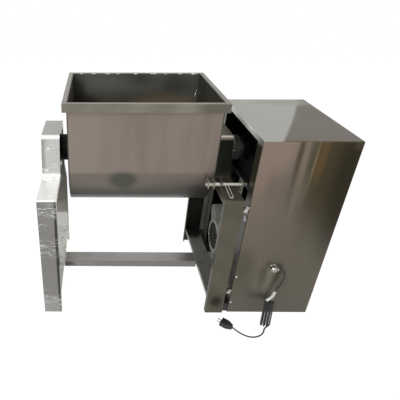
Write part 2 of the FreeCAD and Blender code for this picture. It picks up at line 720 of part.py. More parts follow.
def trunnions():
    """Flanged sleeves bolted to the end plates, with the shaft's bushes and seals."""
    reach_left = "(left_stand_x + stand_width - stand_sheet - bearing_plate - boss_length - 8)"
    reach_right = "(right_stand_x + stand_sheet + bearing_plate + boss_length + 8)"
    for label, face, flange, reach in (
            ("left_trunnion", "trough_left", "trough_left - trunnion_flange", reach_left),
            ("right_trunnion", "trough_right", "trough_right + trunnion_flange", reach_right)):
        body = turned([
            (face, "trunnion_bore"), (face, "trunnion_flange_radius"),
            (flange, "trunnion_flange_radius"), (flange, "trunnion_radius"),
            (reach, "trunnion_radius"), (reach, "trunnion_bore"),
        ])
        holes = [(y, z, "4 + seat_gap") for y, z in on_circle(6, "trunnion_bolt_circle", 0, "0", "0")]
        pocket(body, circles(body, "YZ_Plane", "(%s + %s) / 2" % (face, flange), holes))
        settle(body, label)
    bolts = []
    for y, z in on_circle(6, "trunnion_bolt_circle"):
        bolts.append(bolt_x("(trough_left + end_plate)", y, z, 4, "end_plate + trunnion_flange - 1",
                            False))
        bolts.append(bolt_x("(trough_right - end_plate)", y, z, 4, "end_plate + trunnion_flange - 1",
                            True))
    settle(group(*bolts), "trunnion_bolts")
    length = "50"
    bushes = []
    for left in ("(%s)" % reach_left, "(%s - %s)" % (reach_right, length)):
        bushes.append(ring(left, length, "trunnion_bore", "shaft_radius + running_gap"))
    settle(group(*bushes), "shaft_bushes")
    seals = []
    for left in ("(trough_left + end_plate + 8)", "(trough_right - end_plate - 8 - seal_width)"):
        seals.append(ring(left, "seal_width", "seal_radius", "shaft_radius + running_gap"))
    necks = []
    for left in ("(trough_left)", "(trough_right - end_plate - 8)"):
        necks.append(ring(left, "(end_plate + 8)", "trunnion_bore", "shaft_radius + 1"))
    settle(group(fuse(seals[0], necks[0]), fuse(seals[1], necks[1])), "shaft_seals")


def agitator():
    """The kneading shaft with three double arms and two helical bars."""
    coupling_face = "(coupling_left + coupling_hub + coupling_flange)"
    start = "(trough_left - shaft_left_reach)"
    settle(rod(start, "axis_y", "axis_z", "shaft_radius", "%s - %s" % (coupling_face, start)),
           "agitator_shaft")
    bar_start = "(trough_left + end_plate + bar_end_gap)"
    bar_run = "(trough_right - trough_left - 2 * (end_plate + bar_end_gap))"
    bars = []
    for side in (0, 180):
        spine = doc.addObject("Part::Helix", "spine")
        bind(spine, "Pitch", "%s * 360 / bar_twist" % bar_run)
        bind(spine, "Height", bar_run)
        bind(spine, "Radius", "arm_radius")
        turn = FreeCAD.Rotation(V(1, 0, 0), 90 + side - size("bar_twist") / 2)
        place(spine, bar_start, "axis_y", "axis_z", turn.multiply(ALONG_X))
        section = doc.addObject("Part::Circle", "section")
        bind(section, "Radius", "bar_radius")
        doc.recompute()
        path = spine.Shape.Edges[0]
        tangent = path.tangentAt(path.FirstParameter)
        section.Placement = FreeCAD.Placement(path.valueAt(path.FirstParameter),
                                              FreeCAD.Rotation(V(0, 0, 1), tangent))
        bar = doc.addObject("Part::Sweep", "bar")
        bar.Sections = [section]
        bar.Spine = (spine, ["Edge1"])
        bar.Solid = True
        bar.Frenet = True
        bars.append(bar)
    doc.recompute()
    settle(group(*bars), "kneading_bars")
    arms = []
    first = bars[0].Spine[0].Shape.Edges[0]
    for place_on in ("arm_inset", "%s / 2" % bar_run, "%s - arm_inset" % bar_run):
        share = number(place_on) / number(bar_run)
        spot = first.valueAt(first.FirstParameter
                             + share * (first.LastParameter - first.FirstParameter))
        angle = math.degrees(math.atan2(spot.z - size("axis_z"), spot.y - size("axis_y")))
        reach = "(arm_radius - bar_radius - seat_gap)"
        beam = doc.addObject("Part::Box", "beam")
        bind(beam, "Length", "arm_width")
        bind(beam, "Width", "2 * %s" % reach)
        bind(beam, "Height", "arm_thickness")
        turn = FreeCAD.Rotation(V(1, 0, 0), angle)
        shift = turn.multVec(V(0, -number(reach), -size("arm_thickness") / 2))
        beam.Placement = FreeCAD.Placement(
            V(number(bar_start) + number(place_on) - size("arm_width") / 2,
              size("axis_y") + shift.y, size("axis_z") + shift.z), turn)
        middle = "(%s + %s)" % (bar_start, place_on)
        hub = rod("%s - arm_hub_length / 2" % middle, "axis_y", "axis_z", "arm_hub_radius",
                  "arm_hub_length")
        bore = rod("%s - arm_hub_length" % middle, "axis_y", "axis_z", "shaft_radius",
                   "2 * arm_hub_length")
        arms.append(cut(fuse(hub, beam), bore))
    settle(group(*arms), "kneading_arms")


def coupling():
    """Two flanged hubs that join the agitator shaft to the gearbox's output shaft."""
    left = "coupling_left"
    face = "coupling_left + coupling_hub + coupling_flange"
    other = face + " + coupling_gap"
    end = other + " + coupling_flange + coupling_hub"
    bolt_circle = "((coupling_hub_radius + coupling_radius) / 2)"
    hubs = []
    for near, step, far in ((left, "coupling_left + coupling_hub", face),
                            (end, other + " + coupling_flange", other)):
        body = turned([
            (near, "shaft_radius"), (near, "coupling_hub_radius"), (step, "coupling_hub_radius"),
            (step, "coupling_radius"), (far, "coupling_radius"), (far, "shaft_radius"),
        ])
        holes = [(y, z, "5 + seat_gap") for y, z in on_circle(4, bolt_circle, 0, "0", "0")]
        pocket(body, circles(body, "YZ_Plane", "(%s + %s) / 2" % (step, far), holes))
        hubs.append(body)
    settle(group(*hubs), "coupling_hubs")
    bolts = []
    for y, z in on_circle(4, bolt_circle):
        bolts.append(bolt_x("(coupling_left + coupling_hub)", y, z, 5,
                            "2 * coupling_flange + coupling_gap", True))
    settle(group(*bolts), "coupling_bolts")
    settle(rod(other, "axis_y", "axis_z", "shaft_radius",
               "gearbox_left + shaft_seat - 1 - (%s)" % other), "output_shaft")


def casing_arc_outline(radius_out, radius_in):
    """Points of the casing's upper outline: arcs round both shafts and the line that touches them."""
    y1, z = size("axis_y"), size("axis_z")
    y2 = y1 - size("gear_centres")
    lift = math.asin((radius_out - radius_in) / (y1 - y2))
    touch1 = V(y1 - radius_out * math.sin(lift), z + radius_out * math.cos(lift), 0)
    touch2 = V(y2 - radius_in * math.sin(lift), z + radius_in * math.cos(lift), 0)
    return V(y1, z, 0), V(y2, z, 0), touch1, touch2


def gearbox_half(upper):
    """One half of the split casing before its bores: body, split flange and half bosses."""
    front = "(axis_y - gear_centres - input_arc)"
    deep = "(gear_centres + input_arc + output_arc)"
    shapes = []
    if upper:
        body = doc.addObject("PartDesign::Body", "hood")
        drawing = body.newObject("Sketcher::SketchObject", "hood_outline")
        drawing.AttachmentSupport = (plane_of(body, "YZ_Plane"), "")
        drawing.MapMode = "FlatFace"
        bind(drawing, "AttachmentOffset.Base.z", "gearbox_left")
        radius_out, radius_in = size("output_arc"), size("input_arc")
        centre1, centre2, touch1, touch2 = casing_arc_outline(radius_out, radius_in)
        angle = math.atan2(touch1.y - centre1.y, touch1.x - centre1.x)
        up = V(0, 0, 1)
        drawing.addGeometry([
            Part.ArcOfCircle(Part.Circle(centre1, up, radius_out), 0, angle),
            Part.LineSegment(touch1, touch2),
            Part.ArcOfCircle(Part.Circle(centre2, up, radius_in), angle, math.pi),
            Part.LineSegment(centre2 - V(radius_in, 0, 0), centre1 + V(radius_out, 0, 0)),
        ])
        for a, b, c, d in ((0, 2, 1, 1), (1, 2, 2, 1), (2, 2, 3, 1), (3, 2, 0, 1)):
            drawing.addConstraint(Sketcher.Constraint("Coincident", a, b, c, d))
        pad(body, drawing, "gearbox_width")
        shapes.append(body)
        flange_z = "axis_z"
    else:
        shapes.append(box("gearbox_left", front, "table_top", "gearbox_width", deep,
                          "axis_z - table_top"))
        shapes.append(box("gearbox_left - 4", "%s - casing_lip" % front, "table_top",
                          "gearbox_width + 8", "%s + 2 * casing_lip" % deep, "casing_flange + 4"))
        flange_z = "axis_z - casing_flange"
    shapes.append(box("gearbox_left - casing_lip", "%s - casing_lip" % front, flange_z,
                      "gearbox_width + 2 * casing_lip", "%s + 2 * casing_lip" % deep,
                      "casing_flange"))
    for y, radius in (("axis_y", "cap_radius"), ("axis_y - gear_centres", "input_cap_radius")):
        shapes.append(rod("gearbox_left - boss_width", y, "axis_z", "%s + 4" % radius,
                          "gearbox_width + 2 * boss_width"))
    tools = []
    away = "axis_z - 200" if upper else "axis_z"
    tools.append(box("gearbox_left - 100", "%s - 100" % front, away, "gearbox_width + 200",
                     "%s + 200" % deep, "200"))
    tools.append(rod("gearbox_left - boss_width - 1", "axis_y", "axis_z",
                     "shaft_radius + running_gap", "shaft_seat + boss_width + 1"))
    tools.append(rod("gearbox_left + gearbox_width - shaft_seat", "axis_y - gear_centres", "axis_z",
                     "input_shaft_radius + running_gap", "shaft_seat + boss_width + 1"))
    return cut(fuse(*shapes), *tools)


def gearbox():
    """The split gearbox casing with its bearing caps and bolts."""
    settle(gearbox_half(False), "gearbox_base")
    settle(gearbox_half(True), "gearbox_cover")
    left_face = "(gearbox_left - boss_width)"
    right_face = "(gearbox_left + gearbox_width + boss_width)"
    in_y = "(axis_y - gear_centres)"
    caps = [
        ring("(%s - cap_width)" % left_face, "cap_width", "cap_radius", "shaft_radius + running_gap"),
        ring(right_face, "cap_width", "input_cap_radius", "input_shaft_radius + running_gap", in_y),
        rod(right_face, "axis_y", "axis_z", "cap_radius", "cap_width"),
        rod("%s - cap_width" % left_face, in_y, "axis_z", "input_cap_radius", "cap_width"),
    ]
    settle(group(*caps), "gearbox_caps")
    bolts = []
    front = "axis_y - gear_centres - input_arc - casing_lip / 2"
    back = "axis_y + output_arc + casing_lip / 2"
    for x in ("gearbox_left + 20", "gearbox_left + gearbox_width / 2",
              "gearbox_left + gearbox_width - 20"):
        for y in (front, back):
            bolts.append(nut_z(x, y, "axis_z + casing_flange", 6.4, 7))
    settle(group(*bolts), "gearbox_bolts")


def nut_z(x, y, z, radius, rise):
    """A hexagon head standing on a level face."""
    head = doc.addObject("Part::Prism", "head")
    head.Polygon = 6
    bind(head, "Circumradius", radius)
    bind(head, "Height", rise)
    return place(head, x, y, z)


def base_and_table():
    """The base rails under the cover and the table that carries the gearbox."""
    start = "right_stand_x + stand_width"
    reach = "cover_left + cover_width - 11"
    bar = box(start, "stand_front + tie_inset", 0, "tie_bar", "stand_depth - 2 * tie_inset", "rail_height")
    tubes = []
    for y in ("rail_front", "rail_front + rail_spread"):
        outer = box(start + " + tie_bar - 1", y, 0, "%s - (%s) - tie_bar + 1" % (reach, start),
                    "rail_width", "rail_height")
        core = box(start + " + tie_bar", "%s + rail_wall" % y, "rail_wall",
                   "%s - (%s) - tie_bar + 1" % (reach, start), "rail_width - 2 * rail_wall",
                   "rail_height - 2 * rail_wall")
        tubes.append(cut(outer, core))
    lug = box(start + " + tie_bar - 1", "stand_front + tie_inset", 0,
              "cover_left - (%s) - tie_bar + 1" % start, "rail_front - stand_front - tie_inset + 1",
              "rail_height")
    settle(fuse(bar, lug, *tubes), "base_rails")
    depth = "rail_spread + rail_width"
    plate = box("table_left", "rail_front", "table_top - table_plate", "table_length", depth,
                "table_plate")
    legs = []
    for x, turn_x in (("table_left + 8", 0), ("table_left + table_length - 8 - leg_width", 1)):
        for y, turn_y in (("rail_front + 5", 0), ("rail_front + rail_spread + 5", 1)):
            leg = box(x, y, "rail_height", "leg_width", "leg_width",
                      "table_top - table_plate - rail_height")
            shift_x = "- 1" if turn_x else "+ leg_wall"
            shift_y = "- 1" if turn_y else "+ leg_wall"
            core = box("%s %s" % (x, shift_x), "%s %s" % (y, shift_y), "rail_height - 1",
                       "leg_width - leg_wall + 1", "leg_width - leg_wall + 1",
                       "table_top - table_plate - rail_height + 2")
            legs.append(cut(leg, core))
    settle(group(plate, *legs), "gearbox_table")
    rails = []
    for x in ("motor_body_left + motor_foot_inset",
              "motor_body_left + motor_body_length - motor_foot_inset - rail_width"):
        outer = box(x, "rail_front", "rail_height", "rail_width", depth, "motor_rail_height")
        core = box("%s + rail_wall" % x, "rail_front - 1", "rail_height + rail_wall",
                   "rail_width - 2 * rail_wall", "%s + 2" % depth, "motor_rail_height - 2 * rail_wall")
        rails.append(cut(outer, core))
    settle(group(*rails), "motor_rails")


def motor():
    """The flanged motor lying on its rails: finned body, shields, fan, fan cover and its box."""
    y, z = "motor_y", "motor_z"
    body = doc.addObject("PartDesign::Body", "motor")
    pad(body, circles(body, "YZ_Plane", "motor_body_left", [("0", "0", "motor_core_radius")]),
        "motor_body_length")
    fin = pad(body, sketch(body, "YZ_Plane", "motor_body_left", [
        ("-fin_width / 2", "motor_core_radius - 1"), ("fin_width / 2", "motor_core_radius - 1"),
        ("fin_width / 2", "motor_core_radius + fin_height"),
        ("-fin_width / 2", "motor_core_radius + fin_height")]), "motor_body_length")
    fins = body.newObject("PartDesign::PolarPattern", "fins")
    fins.Originals = [fin]
    fins.Axis = ([f for f in body.Origin.OriginFeatures if f.Role == "X_Axis"][0], [""])
    fins.Angle = 360
    bind(fins, "Occurrences", "fin_count")
    body.Tip = fins
    doc.recompute()
    place(body, 0, y, z)
    foot_z = "rail_height + motor_rail_height"
    feet = []
    for side in ("motor_y - foot_spread - foot_width / 2", "motor_y + foot_spread - foot_width / 2"):
        feet.append(box("motor_body_left + motor_foot_inset", side, foot_z,
                        "motor_body_length - 2 * motor_foot_inset", "foot_width", "foot_height"))
        feet.append(box("motor_body_left + motor_foot_inset", "%s + foot_width / 2 - 7" % side,
                        foot_z, "motor_body_length - 2 * motor_foot_inset", "14",
                        "motor_z - motor_core_radius * 0.45 - (%s)" % foot_z))
    bore = rod("motor_body_left - 1", y, z, "motor_shaft_radius + running_gap",
               "motor_body_length + 2")
    settle(cut(fuse(body, *feet), bore), "motor_body")
    left_end = "motor_left + fan_cover_length"
    right_end = "motor_body_left + motor_body_length"
    bore = "motor_shaft_radius + running_gap"
    shield_left = ring("(motor_body_left - shield_width)", "shield_width",
                       "fan_cover_radius - fan_cover_sheet - seat_gap", bore, y, z)
    shield_right = turned([
        (right_end, bore), (right_end, "motor_core_radius + fin_height"),
        (right_end + " + shield_width * 0.5", "motor_core_radius + fin_height"),
        (right_end + " + shield_width", "motor_core_radius * 0.5"),
        (right_end + " + shield_width + shield_nose", "motor_core_radius * 0.45"),
        (right_end + " + shield_width + shield_nose", bore)], y, z)
    settle(group(shield_left, shield_right), "motor_shields")
    wall = rod("motor_left", y, z, "fan_cover_radius", "fan_cover_length")
    core = rod("motor_left + fan_cover_sheet", y, z, "fan_cover_radius - fan_cover_sheet",
               "fan_cover_length")
    slots = []
    for i in range(-3, 4):
        half = "sqrt((fan_cover_radius * 0.8)^2 - (%d * grille_pitch)^2)" % i
        slots.append(box("motor_left - 1", "motor_y - %s" % half,
                         "motor_z + %d * grille_pitch - grille_slot / 2" % i, "fan_cover_sheet + 2",
                         "2 * %s" % half, "grille_slot"))
    settle(cut(wall, core, group(*slots)), "motor_fan_cover")
    terminal_box()
    shaft_left = "motor_left + 18"
    settle(rod(shaft_left, y, z, "motor_shaft_radius",
               "%s + pulley_width - (%s)" % (PULLEY_LEFT, shaft_left)), "motor_shaft")
    fan_hub = ring("(motor_left + 22)", "26", "26", "motor_shaft_radius", y, z)
    blades = []
    for i in range(6):
        blade = doc.addObject("Part::Box", "blade")
        bind(blade, "Length", "22")
        bind(blade, "Width", "4")
        bind(blade, "Height", "fan_cover_radius - fan_cover_sheet - 25 - 10")
        turn = FreeCAD.Rotation(V(1, 0, 0), 60 * i)
        shift = turn.multVec(V(0, -2, 25))
        blade.Placement = FreeCAD.Placement(
            V(size("motor_left") + 24, size("motor_y") + shift.y, size("motor_z") + shift.z), turn)
        blades.append(blade)
    settle(fuse(fan_hub, *blades), "motor_fan")


def terminal_box():
    """The terminal box and its lid, turned about the motor's axis."""
    turn = FreeCAD.Rotation(V(1, 0, 0), -size("box_turn"))
    low = "(motor_core_radius * 0.9)"
    pieces = []
    for start, rise, across in ((low, "box_rise", "box_width"),
                                ("%s + box_rise" % low, "box_lid", "box_width + 4")):
        body = panel("XZ_Plane", 0, across, [
            ("box_left", start), ("box_left + box_length", start),
            ("box_left + box_length", "%s + %s" % (start, rise)),
            ("box_left", "%s + %s" % (start, rise))])
        half = turn.multVec(V(0, number(across) / 2, 0))
        body.Placement = FreeCAD.Placement(
            V(0, size("motor_y") + half.y, size("motor_z") + half.z), turn)
        pieces.append(body)
    settle(cut(pieces[0], *motor_envelope()), "terminal_box")
    settle(pieces[1], "terminal_box_lid")


def motor_envelope():
    """The round spaces of the fan cover and the finned body, for what sits on them."""
    return [
        rod("motor_left - 10", "motor_y", "motor_z", "fan_cover_radius + seat_gap",
            "motor_body_left - motor_left + 10"),
        rod("motor_body_left - 10", "motor_y", "motor_z", "motor_core_radius + fin_height + seat_gap",
            "motor_body_length"),
    ]


def pulley(radius, bore, y, z):
    """A two-groove V pulley with a hub and a thin web."""
    left = PULLEY_LEFT
    right = PULLEY_LEFT + " + pulley_width"
    rim = "(%s - 22)" % radius
    points = [(left, bore), (left, "%s + 16" % bore), (left + " + 14", "%s + 16" % bore)]
    if number(rim) > number("%s + 20" % bore):
        points += [(left + " + 14", rim), (left, rim)]
    else:
        points = [(left, bore)]
    points.append((left, radius))
    for side in (-1, 1):
        centre = "%s + pulley_width / 2 + %d * groove_pitch / 2" % (PULLEY_LEFT, side)
        points += [
            ("%s - belt_top / 2 - groove_gap" % centre, radius),
            ("%s - belt_bottom / 2 - groove_gap" % centre, "%s - belt_depth - 1.5" % radius),
            ("%s + belt_bottom / 2 + groove_gap" % centre, "%s - belt_depth - 1.5" % radius),
            ("%s + belt_top / 2 + groove_gap" % centre, radius),
        ]
    points += [(right, radius), (right, bore)]
    return turned(points, y, z)


def belt(centre):
    """One V belt round both pulleys, from its closed middle line and its wedge section."""
    depth = size("belt_depth")
    big, small = size("big_pulley_radius") - depth / 2, size("motor_pulley_radius") - depth / 2
    top = V(0, size("axis_y") - size("gear_centres"), size("axis_z"))
    low = V(0, size("motor_y"), size("motor_z"))
    line = (low - top).normalize()
    across = V(0, -line.z, line.y)
    lean = math.asin((big - small) / (low - top).Length)
    sides = []
    for sign in (1, -1):
        out = across * (sign * math.cos(lean)) + line * math.sin(lean)
        sides.append(out)
    x = V(number(centre), 0, 0)
    first, second = sides
    edges = [
        Part.LineSegment(top + first * big + x, low + first * small + x).toShape(),
        Part.Arc(low + first * small + x, low + line * small + x, low + second * small + x).toShape(),
        Part.LineSegment(low + second * small + x, top + second * big + x).toShape(),
        Part.Arc(top + second * big + x, top - line * big + x, top + first * big + x).toShape(),
    ]
    middle = Part.Wire(edges)
    corner = top + first * big + x
    half_top, half_low = size("belt_top") / 2, size("belt_bottom") / 2
    ways = [(-half_low, -1), (half_low, -1), (half_top, 1), (-half_top, 1)]
    ring_points = [corner + V(a, 0, 0) + first * (b * depth / 2) for a, b in ways]
    wedge = Part.makePolygon(ring_points + ring_points[:1])
    feature = doc.addObject("Part::Feature", "belt")
    feature.Shape = middle.makePipeShell([wedge], True, False)
    return feature


def drive():
    """Pulleys, gearbox input shaft and the belts."""
    in_y = "(axis_y - gear_centres)"
    start = "gearbox_left + gearbox_width - shaft_seat"
    settle(rod(start, in_y, "axis_z", "input_shaft_radius",
               "%s + pulley_width - (%s)" % (PULLEY_LEFT, start)), "input_shaft")
    settle(pulley("big_pulley_radius", "input_shaft_radius", in_y, "axis_z"), "big_pulley")
    settle(pulley("motor_pulley_radius", "motor_shaft_radius", "motor_y", "motor_z"), "motor_pulley")
    middle = PULLEY_LEFT + " + pulley_width / 2"
    belts = [belt("%s - groove_pitch / 2" % middle), belt("%s + groove_pitch / 2" % middle)]
    settle(group(*belts), "drive_belts")


def cover():
    """The sheet-metal drive cover with its side panel, screws and brackets."""
    right = "cover_left + cover_width"
    back = "cover_front + cover_depth"
    body = panel("XY_Plane", 0, "cover_height", [
        ("cover_left", "cover_front"), (right, "cover_front"), (right, back), ("cover_left", back)])
    round_edges(body, V(0, 0, 1), "cover_bend", lambda m: True)
    tip = body.Tip
    bends = body.newObject("PartDesign::Fillet", "top_bends")
    names = []
    for index, edge in enumerate(tip.Shape.Edges, start=1):
        if edge.CenterOfMass.z > size("cover_height") - 1e-3:
            names.append("Edge%d" % index)
    bends.Base = (tip, names)
    bind(bends, "Radius", "cover_bend")
    doc.recompute()
    hollow(body, "cover_sheet", lambda c, n: n.z < -0.99 and c.z < 1)
    low, high, top = "cover_front + cover_flange", "%s - cover_flange" % back, "cover_height - cover_flange"
    window = [(low, "cover_flange"), (high, "cover_flange"), (high, top), (low, top)]
    pocket(body, sketch(body, "YZ_Plane", "%s - cover_sheet - 1" % right, window), "cover_sheet + 2")
    low, high = "cover_front + cover_side_flange", "%s - cover_side_flange" % back
    near, away = "rail_front - rail_notch", "rail_front + rail_spread + rail_width + rail_notch"
    step = "rail_height + rail_notch"
    window = [(near, "-1"), (away, "-1"), (away, step), (high, step), (high, top), (low, top),
              (low, step), (near, step)]
    pocket(body, sketch(body, "YZ_Plane", "cover_left - 1", window), "cover_sheet + 2")
    settle(body, "housing_shell")
    edge = "(cover_sheet + cover_bend)"
    side = box("%s - 2 * cover_sheet" % right, "cover_front + %s" % edge, edge, "cover_sheet",
               "cover_depth - 2 * %s" % edge, "cover_height - 2 * %s" % edge)
    settle(side, "housing_side_panel")
    heads = []
    for y in ("cover_front + cover_flange / 2 + 2", "%s - cover_flange / 2 - 2" % back):
        for share in (0.06, 0.35, 0.65, 0.94):
            heads.append(rod(right, y, "cover_height * %.2f" % share, 5, 2))
    settle(group(*heads), "cover_screws")
    brackets = []
    stand_face = "right_stand_x + stand_width"
    reach = "cover_left - (%s)" % stand_face
    front = "cover_front + cover_bend"
    for level in ("upper_bracket", "lower_bracket"):
        shelf = box(stand_face, front, level, reach, "bracket_width", "bracket_sheet")
        tabs = [box(stand_face, front, level, "bracket_sheet", "bracket_width", "bracket_rise"),
                box("cover_left - bracket_sheet", front, "%s - bracket_rise / 2" % level,
                    "bracket_sheet", "bracket_width", "bracket_rise / 2 + bracket_sheet")]
        brackets.append(fuse(shelf, *tabs))
    far = "cover_front + cover_depth - cover_bend - bracket_width"
    end = "stand_front + stand_depth - stand_bend"
    plate = box(stand_face, "%s - bracket_sheet" % end, "closing_foot", reach, "bracket_sheet",
                "closing_height")
    tabs = [box(stand_face, "%s - bracket_width" % end, "closing_foot", "bracket_sheet", "bracket_width",
                "closing_height"),
            box("cover_left - bracket_sheet", far, "closing_foot", "bracket_sheet",
                "%s - (%s)" % (end, far), "closing_height")]
    brackets.append(fuse(plate, *tabs))
    settle(group(*brackets), "cover_brackets")


def keeper():
    """The sliding pin that the trough's lugs rest on, its guide, its hairpin and the lugs."""
    end = "guide_left + guide_length"
    low = "shoulder_height"
    level = LOCK_PIN_LEVEL
    base = box("guide_left", "pin_y - guide_depth / 2", low, "guide_length", "guide_depth", "guide_sheet")
    inner = box("guide_left", "pin_y - guide_depth / 2", low, "guide_sheet", "guide_depth", "guide_rise")
    outer = box("%s - guide_sheet" % end, "pin_y - guide_depth / 2", "%s - guide_drop" % low, "guide_sheet",
                "guide_depth", "guide_rise + guide_drop")
    holes = rod("guide_left - 1", "pin_y", level, "pin_radius + running_gap", "guide_length + 2")
    settle(cut(fuse(base, inner, outer), holes), "pin_guide")
    pin = rod("pin_left", "pin_y", level, "pin_radius", "pin_length")
    eye = doc.addObject("Part::Cylinder", "eye")
    bind(eye, "Radius", "clip_wire + 0.1")
    bind(eye, "Height", "4 * pin_radius")
    lean = FreeCAD.Rotation(V(0, 0, 1), V(0, -1, -0.12))
    eye.Placement = FreeCAD.Placement(V(size("clip_x"), size("pin_y"), number(level))
                                      - lean.multVec(V(0, 0, 2 * size("pin_radius"))), lean)
    settle(cut(pin, eye), "lock_pin")
    clip()
    lugs = []
    for place_on in ("lug_left", "lug_left + lug_pitch"):
        plate = box(place_on, "lug_front", LUG_FOOT, "lug_sheet", "lug_depth", "lug_rise")
        wall = rod("%s - 1" % place_on, "axis_y", "axis_z", "trough_radius", "lug_sheet + 2")
        upper_wall = box("%s - 1" % place_on, "axis_y - trough_radius", "axis_z", "lug_sheet + 2",
                         "2 * trough_radius", "trough_top - axis_z")
        hole = rod("%s - 1" % place_on, "pin_y", level, "pin_radius + seat_gap", "lug_sheet + 2")
        slot = doc.addObject("Part::Box", "slot")
        bind(slot, "Length", "lug_sheet + 2")
        bind(slot, "Width", "2 * (pin_radius + 1)")
        bind(slot, "Height", "2 * lug_rise")
        away = V(0, size("pin_y") - size("axis_y"), number(level) - size("axis_z"))
        lean = math.degrees(math.atan2(-away.z, -away.y))
        turn = FreeCAD.Rotation(V(1, 0, 0), lean)
        shift = turn.multVec(V(0, -size("pin_radius") - 1, -2 * size("lug_rise")))
        slot.Placement = FreeCAD.Placement(V(number(place_on) - 1, size("pin_y") + shift.y,
                                             number(level) + shift.z), turn)
        lugs.append(cut(plate, wall, upper_wall, hole, slot))
    settle(group(*lugs), "keeper_lugs")


def clip():
    """The hairpin: one straight leg through the lock pin, a round eye and a waved leg."""
    wire = size("clip_wire")
    spread = size("clip_spread")
    reach = size("clip_length")
    flat = [V(0, 14, 0), V(0, -reach, 0)]
    bend = V(spread, -reach - spread, 0)
    over = V(2 * spread, -reach, 0)
    edges = [
        Part.LineSegment(flat[0], flat[1]).toShape(),
        Part.Arc(flat[1], bend, over).toShape(),
        Part.LineSegment(over, V(2 * spread, -14, 0)).toShape(),
    ]
    path = Part.Wire(edges)
    circle = Part.Wire([Part.Circle(flat[0], V(0, 1, 0), wire).toShape()])
    hairpin = doc.addObject("Part::Feature", "hairpin")
    hairpin.Shape = path.makePipeShell([circle], True, False)
    lean = FreeCAD.Rotation(V(0, 1, 0), V(0, 1, 0.12))
    hairpin.Placement = FreeCAD.Placement(V(size("clip_x"), size("pin_y"), number(LOCK_PIN_LEVEL)), lean)
    settle(hairpin, "hairpin_clip")


def smooth_edges(points):
    """Straight runs joined by tangent arcs as large as the runs allow; prints the radii."""
    edges = []
    radii = []
    start = points[0]
    for before, here, after in zip(points, points[1:], points[2:]):
        first, second = here - before, after - here
        turn = first.getAngle(second)
        trim = 0.45 * min(first.Length, second.Length)
        radius = trim / math.tan(turn / 2)
        radii.append(round(radius, 1))
        first.normalize()
        second.normalize()
        enter = here - first * trim
        leave = here + second * trim
        inward = (second - first).normalize()
        centre = here + inward * (radius / math.cos(turn / 2))
        edges.append(Part.LineSegment(start, enter).toShape())
        edges.append(Part.Arc(enter, centre - inward * radius, leave).toShape())
        start = leave
    edges.append(Part.LineSegment(start, points[-1]).toShape())
    print("cord radii", radii, "length", round(sum(e.Length for e in edges), 1))
    return edges


def swept(edges, radius):
    """A round solid of one radius along tangent edges."""
    first = edges[0]
    start = first.valueAt(first.FirstParameter)
    section = Part.Wire([Part.Circle(start, first.tangentAt(first.FirstParameter), radius).toShape()])
    solid = Part.Wire(edges).makePipeShell([section], True, False)
    length = sum(e.Length for e in edges)
    print("tube volume over section times length",
          round(solid.Volume / (math.pi * radius ** 2 * length), 5))
    return solid


def feature(shape, label):
    """A finished sub-part from a shape made here."""
    obj = doc.addObject("Part::Feature", label)
    obj.Shape = shape
    return settle(obj, label)


def gland():
    """The domed cable gland with its spout, and the rubber sleeve that the cord leaves by."""
    dome = doc.addObject("PartDesign::Body", "dome")
    drawing = sketch(dome, "XY_Plane", 0, [
        ("0", "0"), ("gland_radius + 2", "0"), ("gland_radius + 2", "5"), ("gland_radius", "7"),
        ("gland_radius", "gland_reach - 8"), ("gland_radius * 0.6", "gland_reach"),
        ("0", "gland_reach")])
    revolution = dome.newObject("PartDesign::Revolution", "revolution")
    revolution.Profile = drawing
    revolution.ReferenceAxis = (drawing, ["V_Axis"])
    revolution.Angle = 360
    doc.recompute()
    dome.Placement = FreeCAD.Placement(V(0, 0, 0), FreeCAD.Rotation(V(0, 0, 1), 180))
    for prop, text in zip("xyz", ("gland_x", "cover_front", "gland_z")):
        bind(dome, "Placement.Base." + prop, text)
    spout_y = "(cover_front - gland_reach * 0.6)"
    spout = rod("gland_x", spout_y, "gland_z", "cord_radius + 4.5", "gland_spout")
    socket = rod("gland_x + gland_spout - 8", spout_y, "gland_z", "cord_radius + 2", 9)
    settle(cut(fuse(dome, spout), socket), "cord_gland")
    start = "gland_x + gland_spout - 8"
    sleeve = turned([
        (start, "0"), (start, "cord_radius + 2"), ("%s + 9" % start, "cord_radius + 2"),
        ("%s + 16" % start, "cord_radius + 0.7"), ("%s + 16" % start, "0")], spout_y, "gland_z")
    settle(sleeve, "strain_relief")


def routed(points):
    """Route points moved to the gland's X and the cover's front."""
    return [V(point.x + size("gland_x"), point.y + size("cover_front"), point.z) for point in points]


def along(start, end):
    """The placement whose X axis runs from start to end with its Y axis level."""
    run = (end - start).normalize()
    side = V(0, 0, 1).cross(run).normalize()
    rise = run.cross(side)
    return FreeCAD.Placement(start, FreeCAD.Rotation(run, side, rise, "XYZ"))


def rounded_bar(length, width, depth, radius):
    """A bar along X with all its edges rounded, centred on the X axis."""
    body = panel("XY_Plane", "-(%s) / 2" % depth, depth, [
        ("0", "-(%s) / 2" % width), (length, "-(%s) / 2" % width), (length, "(%s) / 2" % width),
        ("0", "(%s) / 2" % width)])
    tip = body.Tip
    bends = body.newObject("PartDesign::Fillet", "rounding")
    bends.Base = (tip, ["Edge%d" % (i + 1) for i in range(len(tip.Shape.Edges))])
    bind(bends, "Radius", radius)
    doc.recompute()
    return body


